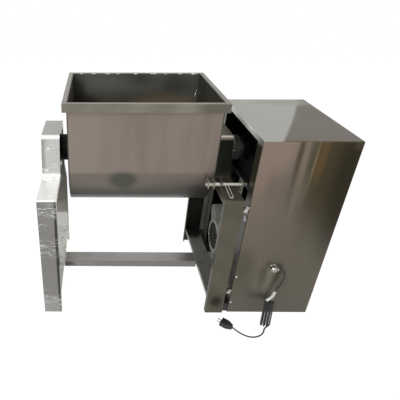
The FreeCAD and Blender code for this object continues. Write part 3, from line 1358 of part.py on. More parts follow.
def cord():
    """The mains cord: its drop to the folded hank, the tie round its last stretch, the lead, the plug."""
    hank = rounded_bar("hank_length", "hank_width", "hank_depth", "hank_depth * 0.42")
    hank.Placement = along(*routed(HANK_ENDS))
    settle(hank, "cord_hank")
    spout = V(number("gland_x + gland_spout + 8"), number("cover_front - gland_reach * 0.6"),
              size("gland_z"))
    drop = smooth_edges([spout] + routed(DROP_ROUTE))
    radius = size("cord_radius")
    sleeve = [part for part in PARTS if part.Label == "strain_relief"][0]
    feature(swept(drop, radius).cut(hank.Shape).cut(sleeve.Shape), "cord_drop")
    wrapped = drop[-5:]
    tie = swept(wrapped, radius + 2.5).cut(swept(wrapped, radius + 0.3))
    feature(tie.cut(hank.Shape), "cord_wrap")
    plug = plug_body()
    lead = smooth_edges(routed(LEAD_ROUTE))
    feature(swept(lead, radius).cut(hank.Shape).cut(plug.Shape), "cord_lead")
    settle(plug, "plug")
    plug_pins()


def plug_place():
    """Where the plug lies: its own X axis runs from the cord's end to its pins."""
    start = routed(LEAD_ROUTE)[-1]
    return along(start, start + PLUG_WAY)


def plug_body():
    """The moulded plug: a grip that widens to the pin face."""
    body = panel("XY_Plane", "-plug_height / 2", "plug_height", [
        ("0", "-plug_neck / 2"), ("plug_length * 0.45", "-plug_width / 2"),
        ("plug_length", "-plug_width / 2"), ("plug_length", "plug_width / 2"),
        ("plug_length * 0.45", "plug_width / 2"), ("0", "plug_neck / 2")])
    tip = body.Tip
    rounding = body.newObject("PartDesign::Fillet", "rounding")
    names = []
    for index, edge in enumerate(tip.Shape.Edges, start=1):
        if edge.CenterOfMass.x > 1 and edge.CenterOfMass.x < size("plug_length") - 1e-3:
            names.append("Edge%d" % index)
    rounding.Base = (tip, names)
    bind(rounding, "Radius", "plug_neck * 0.25")
    doc.recompute()
    body.Placement = plug_place()
    return body


def plug_pins():
    """Three pins of the plug."""
    pins = []
    for across, up in ((-9.5, 0), (9.5, 0), (0, 6)):
        pin = doc.addObject("Part::Cylinder", "pin")
        bind(pin, "Radius", "plug_pin_radius")
        bind(pin, "Height", "plug_pin_length")
        start = plug_place().multVec(V(size("plug_length"), across, up))
        rotation = plug_place().Rotation.multiply(ALONG_X)
        pin.Placement = FreeCAD.Placement(start, rotation)
        pins.append(pin)
    settle(group(*pins), "plug_pins")


def export():
    """Checks every object and writes one file for each sub-part."""
    doc.recompute()
    for obj in doc.Objects:
        if "Invalid" in obj.State or "Error" in obj.State:
            raise RuntimeError("%s (%s) failed: %s" % (obj.Name, obj.Label, obj.State))
    for part in PARTS:
        if part.Shape.isNull() or not part.Shape.isValid() or not part.Shape.Solids:
            raise RuntimeError("%s has no valid shape" % part.Label)
    os.makedirs("parts", exist_ok=True)
    for part in PARTS:
        part.Shape.exportStep("parts/%s.step" % part.Label)
    print(len(PARTS), "sub-parts written")


def main():
    """Builds the whole machine."""
    fill_sheet()
    stands()
    bearings()
    trough()
    trunnions()
    agitator()
    coupling()
    gearbox()
    base_and_table()
    motor()
    drive()
    cover()
    keeper()
    gland()
    cord()
    export()


main()
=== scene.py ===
"""Looks of a tilting dough kneader: brushed and film-marked steel, castings, drive and mains cord.

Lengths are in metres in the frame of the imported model: X runs from the plain stand to the drive
cover, Y from the lock-pin side to the far side, and Z up from the floor.
"""

import logging
import math
from dataclasses import dataclass
from enum import Enum
from typing import Callable, Optional, Sequence

import bpy
import numpy as np
from mathutils import Matrix, Vector

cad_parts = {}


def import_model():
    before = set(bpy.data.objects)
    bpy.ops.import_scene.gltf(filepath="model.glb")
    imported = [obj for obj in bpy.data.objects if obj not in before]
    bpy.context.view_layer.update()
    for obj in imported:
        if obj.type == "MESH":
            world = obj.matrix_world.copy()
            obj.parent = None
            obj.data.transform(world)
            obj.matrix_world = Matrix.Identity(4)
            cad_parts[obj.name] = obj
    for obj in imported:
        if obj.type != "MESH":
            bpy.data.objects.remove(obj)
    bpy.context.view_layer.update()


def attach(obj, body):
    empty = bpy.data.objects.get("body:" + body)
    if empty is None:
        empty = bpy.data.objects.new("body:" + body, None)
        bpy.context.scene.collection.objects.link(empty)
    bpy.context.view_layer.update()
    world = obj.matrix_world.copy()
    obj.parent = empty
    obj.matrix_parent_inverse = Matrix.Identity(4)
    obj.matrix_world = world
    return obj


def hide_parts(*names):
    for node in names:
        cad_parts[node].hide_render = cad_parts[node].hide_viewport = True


LOG = logging.getLogger("kneader")
Colour = tuple[float, float, float]
Point = tuple[float, float, float]
Row = tuple[float, float, float, float, Colour, float, float]
Socket = bpy.types.NodeSocket

# Ways that a face can look.
FRONT: Point = (0.0, -1.0, 0.0)
BACK: Point = (0.0, 1.0, 0.0)
LEFT: Point = (-1.0, 0.0, 0.0)
RIGHT: Point = (1.0, 0.0, 0.0)
TOP: Point = (0.0, 0.0, 1.0)
UNDER: Point = (0.0, 0.0, -1.0)

WHITE = (1.0, 1.0, 1.0, 1.0)
# Painted shade: near-black put on the drive cover's inner faces, which lie in shade.
COVER_INSIDE_SHADE: Colour = (12, 14, 11)
# Painted highlight: film creases are drawn in this near-white along their folds.
CREASE_SHADE: Colour = (240, 240, 237)
CREASE_HEIGHT = 0.002
GRAIN_HEIGHT = 0.0004
# A creased place is a patch of which only the mask is used, so its shade says nothing.
NO_SHADE: Colour = (0, 0, 0)


class Grain(Enum):
    """Stretch of a pattern along each axis; the grain lines run along the axis of the name."""

    ALONG_X = (1.0, 60.0, 60.0)
    ALONG_Y = (60.0, 1.0, 60.0)
    ALONG_Z = (60.0, 60.0, 1.0)
    TURNED = (90.0, 6.0, 6.0)
    NONE = (9.0, 9.0, 9.0)


def linear(rgb: Colour) -> tuple[float, float, float, float]:
    """Turn a colour of 0 to 255 per channel, as the eye reads it, into linear light.

    Args:
        rgb: Red, green and blue from 0 to 255.

    Returns:
        The linear colour with an alpha of one.
    """
    part = [(c / 255 / 12.92) if c / 255 <= 0.04045 else ((c / 255 + 0.055) / 1.055) ** 2.4 for c in rgb]
    return (part[0], part[1], part[2], 1.0)


class Bench:
    """A small bench for wiring the nodes of one tree."""

    def __init__(self, tree: bpy.types.NodeTree) -> None:
        """Open a node tree.

        Args:
            tree: The tree of a material or of the world.
        """
        self.tree = tree

    def add(self, kind: str, **settings: object) -> bpy.types.Node:
        """Add a node and set its plain properties."""
        node = self.tree.nodes.new(kind)
        for key, value in settings.items():
            setattr(node, key, value)
        return node

    def feed(self, value: object, target: Socket) -> None:
        """Join an output to an input, or set the input to a plain value."""
        if isinstance(value, Socket):
            self.tree.links.new(value, target)
        else:
            target.default_value = value

    def span(self, value: Socket, low: float, high: float, to_low: float, to_high: float,
             smooth: bool = False) -> Socket:
        """Map one range of a value to another, clamped at both ends."""
        node = self.add("ShaderNodeMapRange", clamp=True,
                        interpolation_type="SMOOTHSTEP" if smooth else "LINEAR")
        for key, number in zip(("From Min", "From Max", "To Min", "To Max"), (low, high, to_low, to_high)):
            node.inputs[key].default_value = number
        self.feed(value, node.inputs["Value"])
        return node.outputs["Result"]

    def maths(self, kind: str, first: object, second: object = 0.0, clamp: bool = False) -> Socket:
        """One sum of two values, each a socket or a number."""
        node = self.add("ShaderNodeMath", operation=kind, use_clamp=clamp)
        for index, value in enumerate((first, second)):
            self.feed(value, node.inputs[index])
        return node.outputs[0]

    def vector(self, kind: str, first: Socket, second: Optional[Sequence[float]] = None) -> bpy.types.Node:
        """One sum of vectors; its result is at the output Vector or Value, by its kind."""
        node = self.add("ShaderNodeVectorMath", operation=kind)
        self.feed(first, node.inputs[0])
        if second is not None:
            node.inputs[1].default_value = tuple(second)
        return node


class Desk(Bench):
    """The bench of one material, with its surface shader and its coordinates."""

    def __init__(self, name: str) -> None:
        """Open a material with one surface shader.

        Args:
            name: The material's name.
        """
        self.material = bpy.data.materials.new(name)
        self.material.use_nodes = True
        super().__init__(self.material.node_tree)
        self.shader = self.tree.nodes["Principled BSDF"]
        self.where = self.add("ShaderNodeTexCoord")

    def noise(self, stretch: Sequence[float], scale: float, detail: float = 4.0,
              rough: float = 0.55, bend: float = 0.0) -> Socket:
        """A cloud pattern on Object coordinates.

        Args:
            stretch: Repeats per metre along each axis before the scale.
            scale: Scale of the noise.
            detail: Octaves of the noise.
            rough: Weight of the finer octaves.
            bend: How far the pattern is bent out of its own place.

        Returns:
            The pattern's value socket.
        """
        mapping = self.add("ShaderNodeMapping")
        mapping.inputs["Scale"].default_value = tuple(stretch)
        self.feed(self.where.outputs["Object"], mapping.inputs["Vector"])
        cloud = self.add("ShaderNodeTexNoise")
        for key, number in (("Scale", scale), ("Detail", detail), ("Roughness", rough), ("Distortion", bend)):
            cloud.inputs[key].default_value = number
        self.feed(mapping.outputs["Vector"], cloud.inputs["Vector"])
        return cloud.outputs["Fac"]

    def mix(self, factor: Socket, first: object, second: object) -> Socket:
        """Blend two colours, each a socket or a plain colour."""
        node = self.add("ShaderNodeMix", data_type="RGBA")
        # Of this node's sockets, inputs 6 and 7 and output 2 are the ones for colours.
        for index, value in ((0, factor), (6, first), (7, second)):
            self.feed(value, node.inputs[index])
        return node.outputs[2]

    def facing(self, way: Sequence[float], low: float = 0.3, high: float = 0.8) -> Socket:
        """One where the surface's own normal points along a way, nought where it turns off."""
        along = self.vector("DOT_PRODUCT", self.where.outputs["Normal"], way)
        return self.span(along.outputs["Value"], low, high, 0.0, 1.0, True)

    def local(self, centre: Sequence[float], size: Sequence[float]) -> Socket:
        """The place on the surface, from a centre and in units of a size along each axis."""
        shift = self.vector("SUBTRACT", self.where.outputs["Object"], centre)
        return self.vector("DIVIDE", shift.outputs["Vector"], size).outputs["Vector"]

    def blob(self, centre: Sequence[float], size: Sequence[float], soft: float) -> Socket:
        """A soft ellipsoid round a point: one inside, nought outside.

        Args:
            centre: The middle in metres.
            size: Half widths in metres.
            soft: Share of the half width over which it fades.

        Returns:
            The mask's value socket.
        """
        length = self.vector("LENGTH", self.local(centre, size))
        return self.span(length.outputs["Value"], 1.0 - soft, 1.0 + soft, 1.0, 0.0, True)

    def bump(self, height: Socket, strength: float, distance: float,
             after: Optional[Socket] = None) -> Socket:
        """Raise the surface by a pattern, on top of an earlier one if given."""
        node = self.add("ShaderNodeBump")
        node.inputs["Strength"].default_value = strength
        node.inputs["Distance"].default_value = distance
        self.feed(height, node.inputs["Height"])
        if after is not None:
            self.feed(after, node.inputs["Normal"])
        return node.outputs["Normal"]

    def finish(self, values: dict[str, object]) -> bpy.types.Material:
        """Feed the surface shader's own inputs and hand over the material."""
        for key, value in values.items():
            self.feed(value, self.shader.inputs[key])
        return self.material


@dataclass(frozen=True)
class Patch:
    """A soft patch of another shade on a sheet, in metres, most often painted light, shade or reflection; a
    dull one loses the metal's shine too.
    """

    centre: Point
    size: Point
    shade: Colour
    amount: float = 0.8
    soft: float = 0.5
    way: Optional[Point] = None
    dull: bool = False


def camera_side_patches(depth: float, reach: float, rows: Sequence[Row]) -> tuple[Patch, ...]:
    """Patches on an upright sheet, on its face towards the camera; they carry painted reflections and painted
    shade.

    Args:
        depth: The patches' middle along Y in metres.
        reach: Their half width along Y.
        rows: For each its middle along X and Z, half widths along X and Z, shade, amount and softness.

    Returns:
        The patches in the order of the rows.
    """
    return tuple(Patch((x, depth, z), (wide, reach, high), shade, amount, soft, FRONT)
                 for x, z, wide, high, shade, amount, soft in rows)


@dataclass(frozen=True)
class Steel:
    """Brushed or turned steel with painted cloudy reflections, patches (most of them painted light and shade)
    and, if wanted, film creases.
    """

    name: str
    shade: Colour
    cloud: Colour
    grain: Grain = Grain.ALONG_X
    metallic: float = 0.75
    roughness: float = 0.36
    cloud_size: float = 4.0
    grain_depth: float = 0.16
    cloud_stretch: Point = (1.0, 1.0, 1.0)
    relief: float = 0.12
    gloss: float = 0.5
    crease: float = 0.0
    patches: tuple[Patch, ...] = ()
    creased: tuple[Patch, ...] = ()
    strewn: float = 0.8
    edge: Colour = (255, 255, 255)

    def shown(self, desk: Desk, patch: Patch) -> Socket:
        """The mask of a patch, limited to the faces that look its way."""
        mask = desk.blob(patch.centre, patch.size, patch.soft)
        if patch.way is not None:
            mask = desk.maths("MULTIPLY", mask, desk.facing(patch.way))
        return desk.maths("MULTIPLY", mask, patch.amount)

    def ridge(self, desk: Desk, folds: Socket, width: float) -> Socket:
        """One where a cloud pattern passes its middle value, nought away from it."""
        off = desk.maths("ABSOLUTE", desk.maths("SUBTRACT", folds, 0.5))
        return desk.span(off, 0.0, width, 1.0, 0.0, True)

    def film(self, desk: Desk) -> tuple[Socket, Socket]:
        """Creases of a protective film: a few long ones everywhere, many short ones in some places.

        Args:
            desk: The bench of the material.

        Returns:
            The creases' mask and the height that they add.
        """
        long_folds = desk.noise((0.5, 0.5, 1.6), 11.0, 2.0, 0.5, 0.8)
        where = desk.span(desk.noise((1, 1, 1), 11.0, 2.0), 0.52, 0.62, 0.0, self.strewn, True)
        mask = desk.maths("MULTIPLY", self.ridge(desk, long_folds, 0.008), where)
        short_folds = desk.noise((0.4, 0.4, 1.9), 32.0, 3.0, 0.55, 0.9)
        fine = self.ridge(desk, short_folds, 0.03)
        for patch in self.creased:
            mask = desk.maths("MAXIMUM", mask, desk.maths("MULTIPLY", fine, self.shown(desk, patch)))
        return desk.maths("MULTIPLY", mask, self.crease), desk.maths("ADD", mask, short_folds)

    def material(self) -> bpy.types.Material:
        """Build the finish.

        Returns:
            A material whose colour, roughness and relief follow the grain and the creases.
        """
        desk = Desk(self.name)
        lines = desk.noise(self.grain.value, 6.0, 5.0, 0.6)
        clouds = desk.span(desk.noise(self.cloud_stretch, self.cloud_size, 3.0), 0.35, 0.65, 0.0, 1.0, True)
        colour = desk.mix(clouds, linear(self.shade), linear(self.cloud))
        bare: object = self.metallic
        for patch in self.patches:
            mask = self.shown(desk, patch)
            colour = desk.mix(mask, colour, linear(patch.shade))
            if patch.dull:
                bare = desk.maths("MULTIPLY", bare, desk.maths("SUBTRACT", 1.0, mask))
        streak = desk.span(lines, 0.3, 0.7, 1.0 - self.grain_depth, 1.0 + self.grain_depth)
        streaked = desk.vector("SCALE", colour)
        desk.feed(streak, streaked.inputs["Scale"])
        colour = streaked.outputs["Vector"]
        relief = desk.bump(lines, self.relief, GRAIN_HEIGHT)
        rough = desk.span(lines, 0.3, 0.7, self.roughness - 0.05, self.roughness + 0.08)
        if self.crease > 0:
            line, height = self.film(desk)
            # Painted highlight: the crease lines take the near-white crease shade.
            colour = desk.mix(line, colour, linear(CREASE_SHADE))
            relief = desk.bump(height, 0.5 * self.crease, CREASE_HEIGHT, relief)
            rough = desk.maths("SUBTRACT", rough, 0.12)
        return desk.finish({"Base Color": colour, "Roughness": rough, "Normal": relief, "Metallic": bare,
                            "Specular IOR Level": self.gloss, "Specular Tint": linear(self.edge)})


@dataclass(frozen=True)
class Paint:
    """Paint, rubber or moulded plastic with a fine skin and dusty clouds."""

    name: str
    shade: Colour
    dust: Colour
    roughness: float = 0.5
    metallic: float = 0.0
    skin: float = 300.0
    relief: float = 0.12
    depth: float = 0.0004
    coat: float = 0.0
    gloss: float = 0.5

    def material(self) -> bpy.types.Material:
        """Build the finish.

        Returns:
            A material with a pebbled skin and a cloud of dust over its shade.
        """
        desk = Desk(self.name)
        clouds = desk.span(desk.noise((1, 1, 1), 14.0, 4.0), 0.42, 0.7, 0.0, 1.0, True)
        colour = desk.mix(clouds, linear(self.shade), linear(self.dust))
        rough = desk.span(clouds, 0.0, 1.0, self.roughness, min(1.0, self.roughness + 0.15))
        pebble = desk.noise((1, 1, 1), self.skin, 2.0)
        return desk.finish({"Base Color": colour, "Roughness": rough,
                            "Normal": desk.bump(pebble, self.relief, self.depth), "Metallic": self.metallic,
                            "Coat Weight": self.coat, "Specular IOR Level": self.gloss})


def dress(nodes: Sequence[str], finish: object) -> None:
    """Give carried-over pieces one finish.

    Args:
        nodes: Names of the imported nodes.
        finish: A finish with a material method.
    """
    skin = finish.material()
    for name in nodes:
        piece = bpy.data.objects[name]
        piece.data.materials.clear()
        piece.data.materials.append(skin)
        LOG.info("%s wears %s", name, skin.name)


def surface(name: str, grid: np.ndarray, close_v: bool = False, smooth: bool = True) -> bpy.types.Object:
    """Make a mesh from a grid of points.

    Point (i, j) is joined to its neighbours along both parameters; if the columns close on
    themselves, the last is joined to the first.

    Args:
        name: The piece's name.
        grid: Points in an array of rows, columns and three coordinates.
        close_v: Whether the columns close on themselves.
        smooth: Whether the faces are shaded smooth.

    Returns:
        The new object, at the origin, linked to the scene.
    """
    rows, columns = grid.shape[:2]
    a, b = np.meshgrid(np.arange(rows - 1), np.arange(columns if close_v else columns - 1), indexing="ij")
    c, d = a + 1, (b + 1) % columns
    faces = np.stack([a * columns + b, c * columns + b, c * columns + d, a * columns + d], -1).reshape(-1, 4)
    mesh = bpy.data.meshes.new(name)
    mesh.from_pydata(grid.reshape(-1, 3).tolist(), [], faces.tolist())
    mesh.polygons.foreach_set("use_smooth", np.full(len(faces), smooth))
    mesh.update()
    piece = bpy.data.objects.new(name, mesh)
    bpy.context.scene.collection.objects.link(piece)
    return piece


def angles(sides: int) -> np.ndarray:
    """The angles of a ring's points, once round."""
    return np.linspace(0, 2 * math.pi, sides + 1)[:-1]


def rings(middle: np.ndarray, radius: np.ndarray, sides: int) -> np.ndarray:
    """Stand a ring square to a line at each of its points.

    Args:
        middle: Points of the line.
        radius: Radii in an array of rings by sides, or rings by one.
        sides: Points on each ring.

    Returns:
        The grid of points, rings by sides.
    """
    way = np.gradient(middle, axis=0)
    way /= np.linalg.norm(way, axis=1, keepdims=True)
    helper = np.array([0.0, 1.0, 0.0]) if abs(way[:, 1]).mean() < 0.7 else np.array([0.0, 0.0, 1.0])
    across = np.cross(way, helper)
    across /= np.linalg.norm(across, axis=1, keepdims=True)
    other = np.cross(way, across)
    u = angles(sides)[None, :, None]
    return middle[:, None] + radius[..., None] * (np.cos(u) * across[:, None] + np.sin(u) * other[:, None])


def tube(line: np.ndarray, count: int, radius: Callable[[np.ndarray], np.ndarray],
         sides: int = 24) -> np.ndarray:
    """Carry a circle along a line.

    The line is divided evenly by length; the radius of each ring is a function of the length up
    to it.

    Args:
        line: Points of the line.
        count: Number of rings.
        radius: Gives the radii for an array of lengths.
        sides: Points on each ring.

    Returns:
        The grid of points, rings by sides.
    """
    steps = np.concatenate([[0.0], np.cumsum(np.linalg.norm(np.diff(line, axis=0), axis=1))])
    along = np.linspace(0.0, steps[-1], count)
    middle = np.stack([np.interp(along, steps, line[:, k]) for k in range(3)], -1)
    return rings(middle, np.asarray(radius(along))[:, None], sides)


def metres(points: Sequence[Point]) -> list[Point]:
    """Turn points in millimetres into metres."""
    return [(x / 1000, y / 1000, z / 1000) for x, y, z in points]


@dataclass
class MainsCord:
    """The mains cord: its drop, folded hank, lead, sleeve and tie."""

    radius: float = 0.0035
    hank_top: Vector = Vector((0.461, -0.341, 0.094))
    hank_foot: Vector = Vector((0.412, -0.446, 0.015))
    hank_length: float = 0.136
    turn_pitch: float = 0.0069
    spacing: float = 1.9
    fold: float = 0.0098
    bulge: float = 1.08
    straight: float = 0.006
    slack: float = 0.0012
    runs: int = 7
    sleeve_foot: float = 0.176
    sleeve_wall: float = 0.0017
    sleeve_rings: int = 440
    rib_height: float = 0.0005
    rib_step: float = 0.0032
    tie_top: float = 0.166
    tie_foot: float = 0.099
    tie_sides: int = 32

    def drop(self) -> list[Point]:
        """Points from the gland's sleeve down to the hank, in metres."""
        return metres([
            (466, -346.2, 297), (478, -346.6, 296), (489, -351, 282), (493, -356, 260), (490, -357, 234),
            (483, -355, 206), (474, -353, 178), (467, -351, 150), (462, -350, 122),
        ])

    def lead(self) -> list[Point]:
        """Points from the hank's foot along the floor to the plug, in metres."""
        return metres([
            (413, -448, 12), (407, -463, 6), (395, -478, 4), (377, -489, 4), (353, -497, 4), (326, -495, 4),
            (300, -481, 4), (278, -462, 6), (258, -444, 13),
        ])

    def axes(self) -> Matrix:
        """The frame of the hank: X along it, Y level and Z across."""
        run = (self.hank_foot - self.hank_top).normalized()
        side = Vector((0, 0, 1)).cross(run).normalized()
        rise = run.cross(side)
        turn = Matrix((run, side, rise)).transposed().to_4x4()
        return Matrix.Translation(self.hank_top) @ turn

    def hank(self) -> list[Point]:
        """Points of the folded turns: runs that alternate above and below the middle.

        Run k lies at height plus or minus the fold's radius, a fixed step further across than
        the run before it; each fold goes round its end in five points.

        Returns:
            The points in the model's frame, from the top of the hank to its foot.
        """
        near = self.radius + self.fold
        far = self.hank_length - near
        points = []
        for k in range(self.runs):
            across = (k - (self.runs - 1) / 2) * self.turn_pitch / 2
            way = 1 if k % 2 == 0 else -1
            up = way * self.fold
            first, last = (near, far) if way > 0 else (far, near)
            slack = self.slack * math.sin(2.1 * k)
            step = way * self.straight
            for x, z in ((first, up), (first + step, up + slack), (last - step, up - slack), (last, up)):
                points.append((x, across * self.spacing, z))
            if k < self.runs - 1:
                for angle in (45, 90, 135):
                    turn = math.radians(angle)
                    points.append((last + way * self.bulge * self.fold * math.sin(turn),
                                   (across + self.turn_pitch / 2 * angle / 180) * self.spacing,
                                   up * self.bulge * math.cos(turn)))
        frame = self.axes()
        return [tuple(frame @ Vector(p)) for p in points]

    def make(self) -> None:
        route = self.drop() + self.hank() + self.lead()
        data = bpy.data.curves.new("mains_cord", "CURVE")
        data.dimensions = "3D"
        spline = data.splines.new("NURBS")
        spline.points.add(len(route) - 1)
        spline.points.foreach_set("co", [c for p in route for c in (*p, 1.0)])
        spline.order_u = 3
        spline.use_endpoint_u = True
        spline.resolution_u = 8
        cord = bpy.data.objects.new("mains_cord", data)
        bpy.context.scene.collection.objects.link(cord)
        bare = bpy.data.meshes.new_from_object(cord)
        line = np.array([v.co[:] for v in bare.vertices])
        data.bevel_depth = self.radius
        data.bevel_resolution = 4
        data.use_fill_caps = True
        data.materials.append(Paint("cord_sheath", (22, 22, 23), (34, 33, 32), 0.42, relief=0.08).material())
        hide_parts("cord_drop", "cord_hank", "cord_lead")
        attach(cord, "frame")
        wrap, sleeve = self.wrap(line), self.sleeve(line)

    def sleeve(self, line: np.ndarray) -> bpy.types.Object:
        """A ribbed black sleeve round the cord from the gland down to the tie.

        The radius at length s is that of the cord plus a wall and a sine of one rib per step.

        Args:
            line: Points along the cord's middle.

        Returns:
            The sleeve's object.
        """
        end = int(np.argmax(line[:, 2] < self.sleeve_foot))
        grid = tube(line[3:end], self.sleeve_rings, lambda s: (
            self.radius + self.sleeve_wall + self.rib_height * np.sin(s / self.rib_step * 2 * math.pi)))
        piece = surface("cord_sleeve", grid, close_v=True)
        piece.data.materials.append(Paint("sleeve_plastic", (18, 18, 19), (30, 30, 30), 0.3, relief=0.05,
                                          coat=0.3).material())
        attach(piece, "frame")
        return piece

    def wrap(self, line: np.ndarray) -> bpy.types.Object:
        """A crumpled strip of pale film wound round the cord above the hank.

        The radius at share v of the strip's height and angle u is that of the cord plus a fold
        pattern of three sines, drawn in at both ends.

        Args:
            line: Points along the cord's middle.

        Returns:
            The wrap's object.
        """
        start, end = (int(np.argmax(line[:, 2] < height)) for height in (self.tie_top, self.tie_foot))
        middle = line[start:end]
        u = angles(self.tie_sides)
        v = np.linspace(0, 1, len(middle))[:, None]
        fold = 0.0008 * np.sin(5 * u + 9 * v) + 0.0006 * np.sin(9 * u - 23 * v) + 0.0005 * np.sin(31 * v)
        taper = 0.6 + 0.4 * np.sin(math.pi * np.clip(v, 0.02, 0.98)) ** 0.4
        radius = self.radius + 0.0009 + (0.0016 + fold) * taper
        piece = surface("cord_tie", rings(middle, radius, self.tie_sides), close_v=True)
        piece.data.materials.append(Paint("pale_film", (206, 206, 204), (238, 238, 238), 0.3,
                                          relief=0.4, skin=160.0, coat=0.4).material())
        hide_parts("cord_wrap")
        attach(piece, "frame")
        return piece


@dataclass
class Stands:
    """Both folded stands with the crossbar, plates and bearing housings."""

    film_creases: float = 0.85

    def left_finish(self) -> Steel:
        """Pale steel under film, with painted light: painted highlights on the shoulder and the bends, a grey
        leg with painted shade down its front and inner edges, lighter-painted back faces, creases near the
        folds.
        """
        return Steel(
            "film_steel_with_painted_light", (142, 140, 136), (126, 123, 119), Grain.ALONG_Z, 0.6, 0.3, 7.0, 0.05,
            crease=self.film_creases, patches=(
                # Painted light and shade: a darker upper leg front, a lighter foot and column front, a darker
                # outer column edge, a lighter top, painted highlights on the shoulder's top, the bends and
                # low on the back leg, painted shade on the inner flange and the front's inner edge, and
                # lighter-painted back faces.
                Patch((-0.63, -0.334, 0.22), (0.2, 0.03, 0.40), (122, 120, 116), 0.8, 0.2, FRONT),
                Patch((-0.63, -0.334, 0.04), (0.2, 0.03, 0.06), (156, 155, 151), 0.7, 0.4, FRONT),
                Patch((-0.61, -0.075, 0.76), (0.06, 0.08, 0.12), (199, 198, 194), 0.9, 0.4, FRONT),
                Patch((-0.672, -0.075, 0.76), (0.014, 0.1, 0.14), (146, 145, 139), 0.7, 0.5, FRONT),
                Patch((-0.63, 0.06, 0.852), (0.2, 0.2, 0.02), (160, 158, 153), 0.9, 0.3, TOP),
                Patch((-0.63, -0.215, 0.663), (0.2, 0.16, 0.03), (232, 232, 229), 0.95, 0.3, TOP),
                Patch((-0.63, -0.050, 0.848), (0.2, 0.014, 0.012), (244, 244, 241), 0.95, 0.4),
                Patch((-0.63, -0.104, 0.666), (0.2, 0.02, 0.014), (246, 246, 243), 0.9, 0.6),
                Patch((-0.588, -0.02, 0.40), (0.006, 0.4, 0.5), (60, 58, 50), 1.0, 0.2, RIGHT, True),
                Patch((-0.63, 0.29, 0.35), (0.2, 0.08, 0.4), (188, 186, 175), 0.9, 0.3, FRONT),
                Patch((-0.592, -0.334, 0.36), (0.008, 0.03, 0.32), (52, 50, 45), 1.0, 0.3, FRONT),
                Patch((-0.63, 0.303, 0.155), (0.2, 0.05, 0.055), (255, 255, 252), 1.0, 0.15, FRONT),
                Patch((-0.63, 0.25, 0.55), (0.2, 0.10, 0.12), (186, 184, 176), 0.8, 0.3),
            ), creased=(
                Patch((-0.63, -0.334, 0.605), (0.2, 0.03, 0.028), NO_SHADE, 0.9, 0.5, FRONT),
                Patch((-0.63, -0.334, 0.405), (0.2, 0.03, 0.045), NO_SHADE, 0.8, 0.5, FRONT),
                Patch((-0.63, -0.334, 0.075), (0.2, 0.03, 0.035), NO_SHADE, 0.9, 0.5, FRONT),
                Patch((-0.63, -0.2, 0.67), (0.2, 0.15, 0.05), NO_SHADE, 0.7, 0.3),
                Patch((-0.62, 0.306, 0.30), (0.2, 0.02, 0.3), NO_SHADE, 0.7, 0.4, BACK),
                Patch((-0.62, 0.303, 0.112), (0.2, 0.02, 0.012), NO_SHADE, 0.9, 0.3, FRONT),
            ))

    def right_finish(self) -> Steel:
        """Dull olive steel with painted light: painted shade on the column's front, a lighter-painted top
        with a painted highlight on its bend, and a dark mark low on the leg.
        """
        return Steel(
            "dull_steel", (93, 89, 78), (85, 82, 71), Grain.ALONG_Z, 0.55, 0.36, 6.0, 0.07,
            edge=(130, 126, 106), patches=(
                # Painted shade on the shoulder's top, the column's front, the back faces and the inner edge;
                # a lighter-painted top with a painted highlight on its bend. Besides these, a dark mark low
                # on the leg and a darker patch below the shoulder.
                Patch((0.19, -0.2, 0.663), (0.08, 0.14, 0.02), (74, 74, 66), 0.7, 0.4, TOP),
                Patch((0.19, -0.075, 0.76), (0.2, 0.08, 0.10), (30, 35, 28), 0.9, 0.4, FRONT),
                Patch((0.19, 0.06, 0.852), (0.2, 0.2, 0.02), (112, 106, 97), 0.8, 0.3, TOP),
                Patch((0.19, -0.048, 0.848), (0.2, 0.013, 0.012), (186, 176, 166), 0.9, 0.4),
                Patch((0.195, -0.334, 0.075), (0.028, 0.03, 0.032), (44, 43, 38), 0.8, 0.6, FRONT),
                Patch((0.19, -0.334, 0.62), (0.1, 0.02, 0.07), (78, 74, 63), 0.6, 0.6, FRONT),
                Patch((0.19, 0.3, 0.50), (0.2, 0.2, 0.25), (40, 40, 36), 0.85, 0.3),
                Patch((0.19, 0.3, 0.08), (0.2, 0.05, 0.18), (42, 42, 38), 0.9, 0.3),
                Patch((0.150, -0.325, 0.33), (0.006, 0.03, 0.5), (40, 39, 30), 1.0, 0.2, LEFT, True),
            ))

    def dress(self) -> None:
        """Finish the stands."""
        dress(["left_stand_wrap"], self.left_finish())
        dress(["left_stand_panel"],
              Steel("side_panel_steel", (128, 126, 119), (100, 98, 91), Grain.ALONG_Z, 0.6, 0.34, 6.0, 0.08))
        dress(["right_stand_wrap"], self.right_finish())
        dress(["floor_plates"], Steel(
            "floor_plate_steel", (134, 132, 125), (120, 118, 111), Grain.NONE, 0.3, 0.4, 5.0, 0.03,
            relief=0.03, crease=0.3, strewn=0.0, patches=(
                # Painted light on the plain stand's floor plate, which lies in the stand's shade; painted
                # shade on the back of the drive-side plate.
                Patch((-0.63, 0.0, 0.103), (0.06, 0.4, 0.03), (248, 247, 242), 1.0, 0.2),
                Patch((0.19, 0.26, 0.103), (0.06, 0.075, 0.03), (26, 26, 23), 0.95, 0.3),
            ), creased=(Patch((-0.63, 0.0, 0.103), (0.06, 0.4, 0.03), NO_SHADE, 0.9, 0.2),)))
        dress(["crossbar"], Steel(
            "bar_steel", (152, 150, 146), (140, 138, 133), Grain.ALONG_X, 0.6, 0.3, 4.0, 0.06, patches=(
                # Painted shade: the bar's front faces darker, and darker still low at its left end.
                Patch((-0.2, -0.2, 0.08), (2.0, 2.0, 0.2), (126, 123, 118), 0.9, 0.3, FRONT),
                Patch((-0.570, -0.04, 0.075), (0.035, 0.02, 0.022), (52, 50, 45), 0.9, 0.6, FRONT),
            )))
        dress(["bearing_plates", "base_rails", "gearbox_table", "motor_rails"],
              Paint("dark_paint", (38, 38, 37), (52, 50, 47), 0.5))
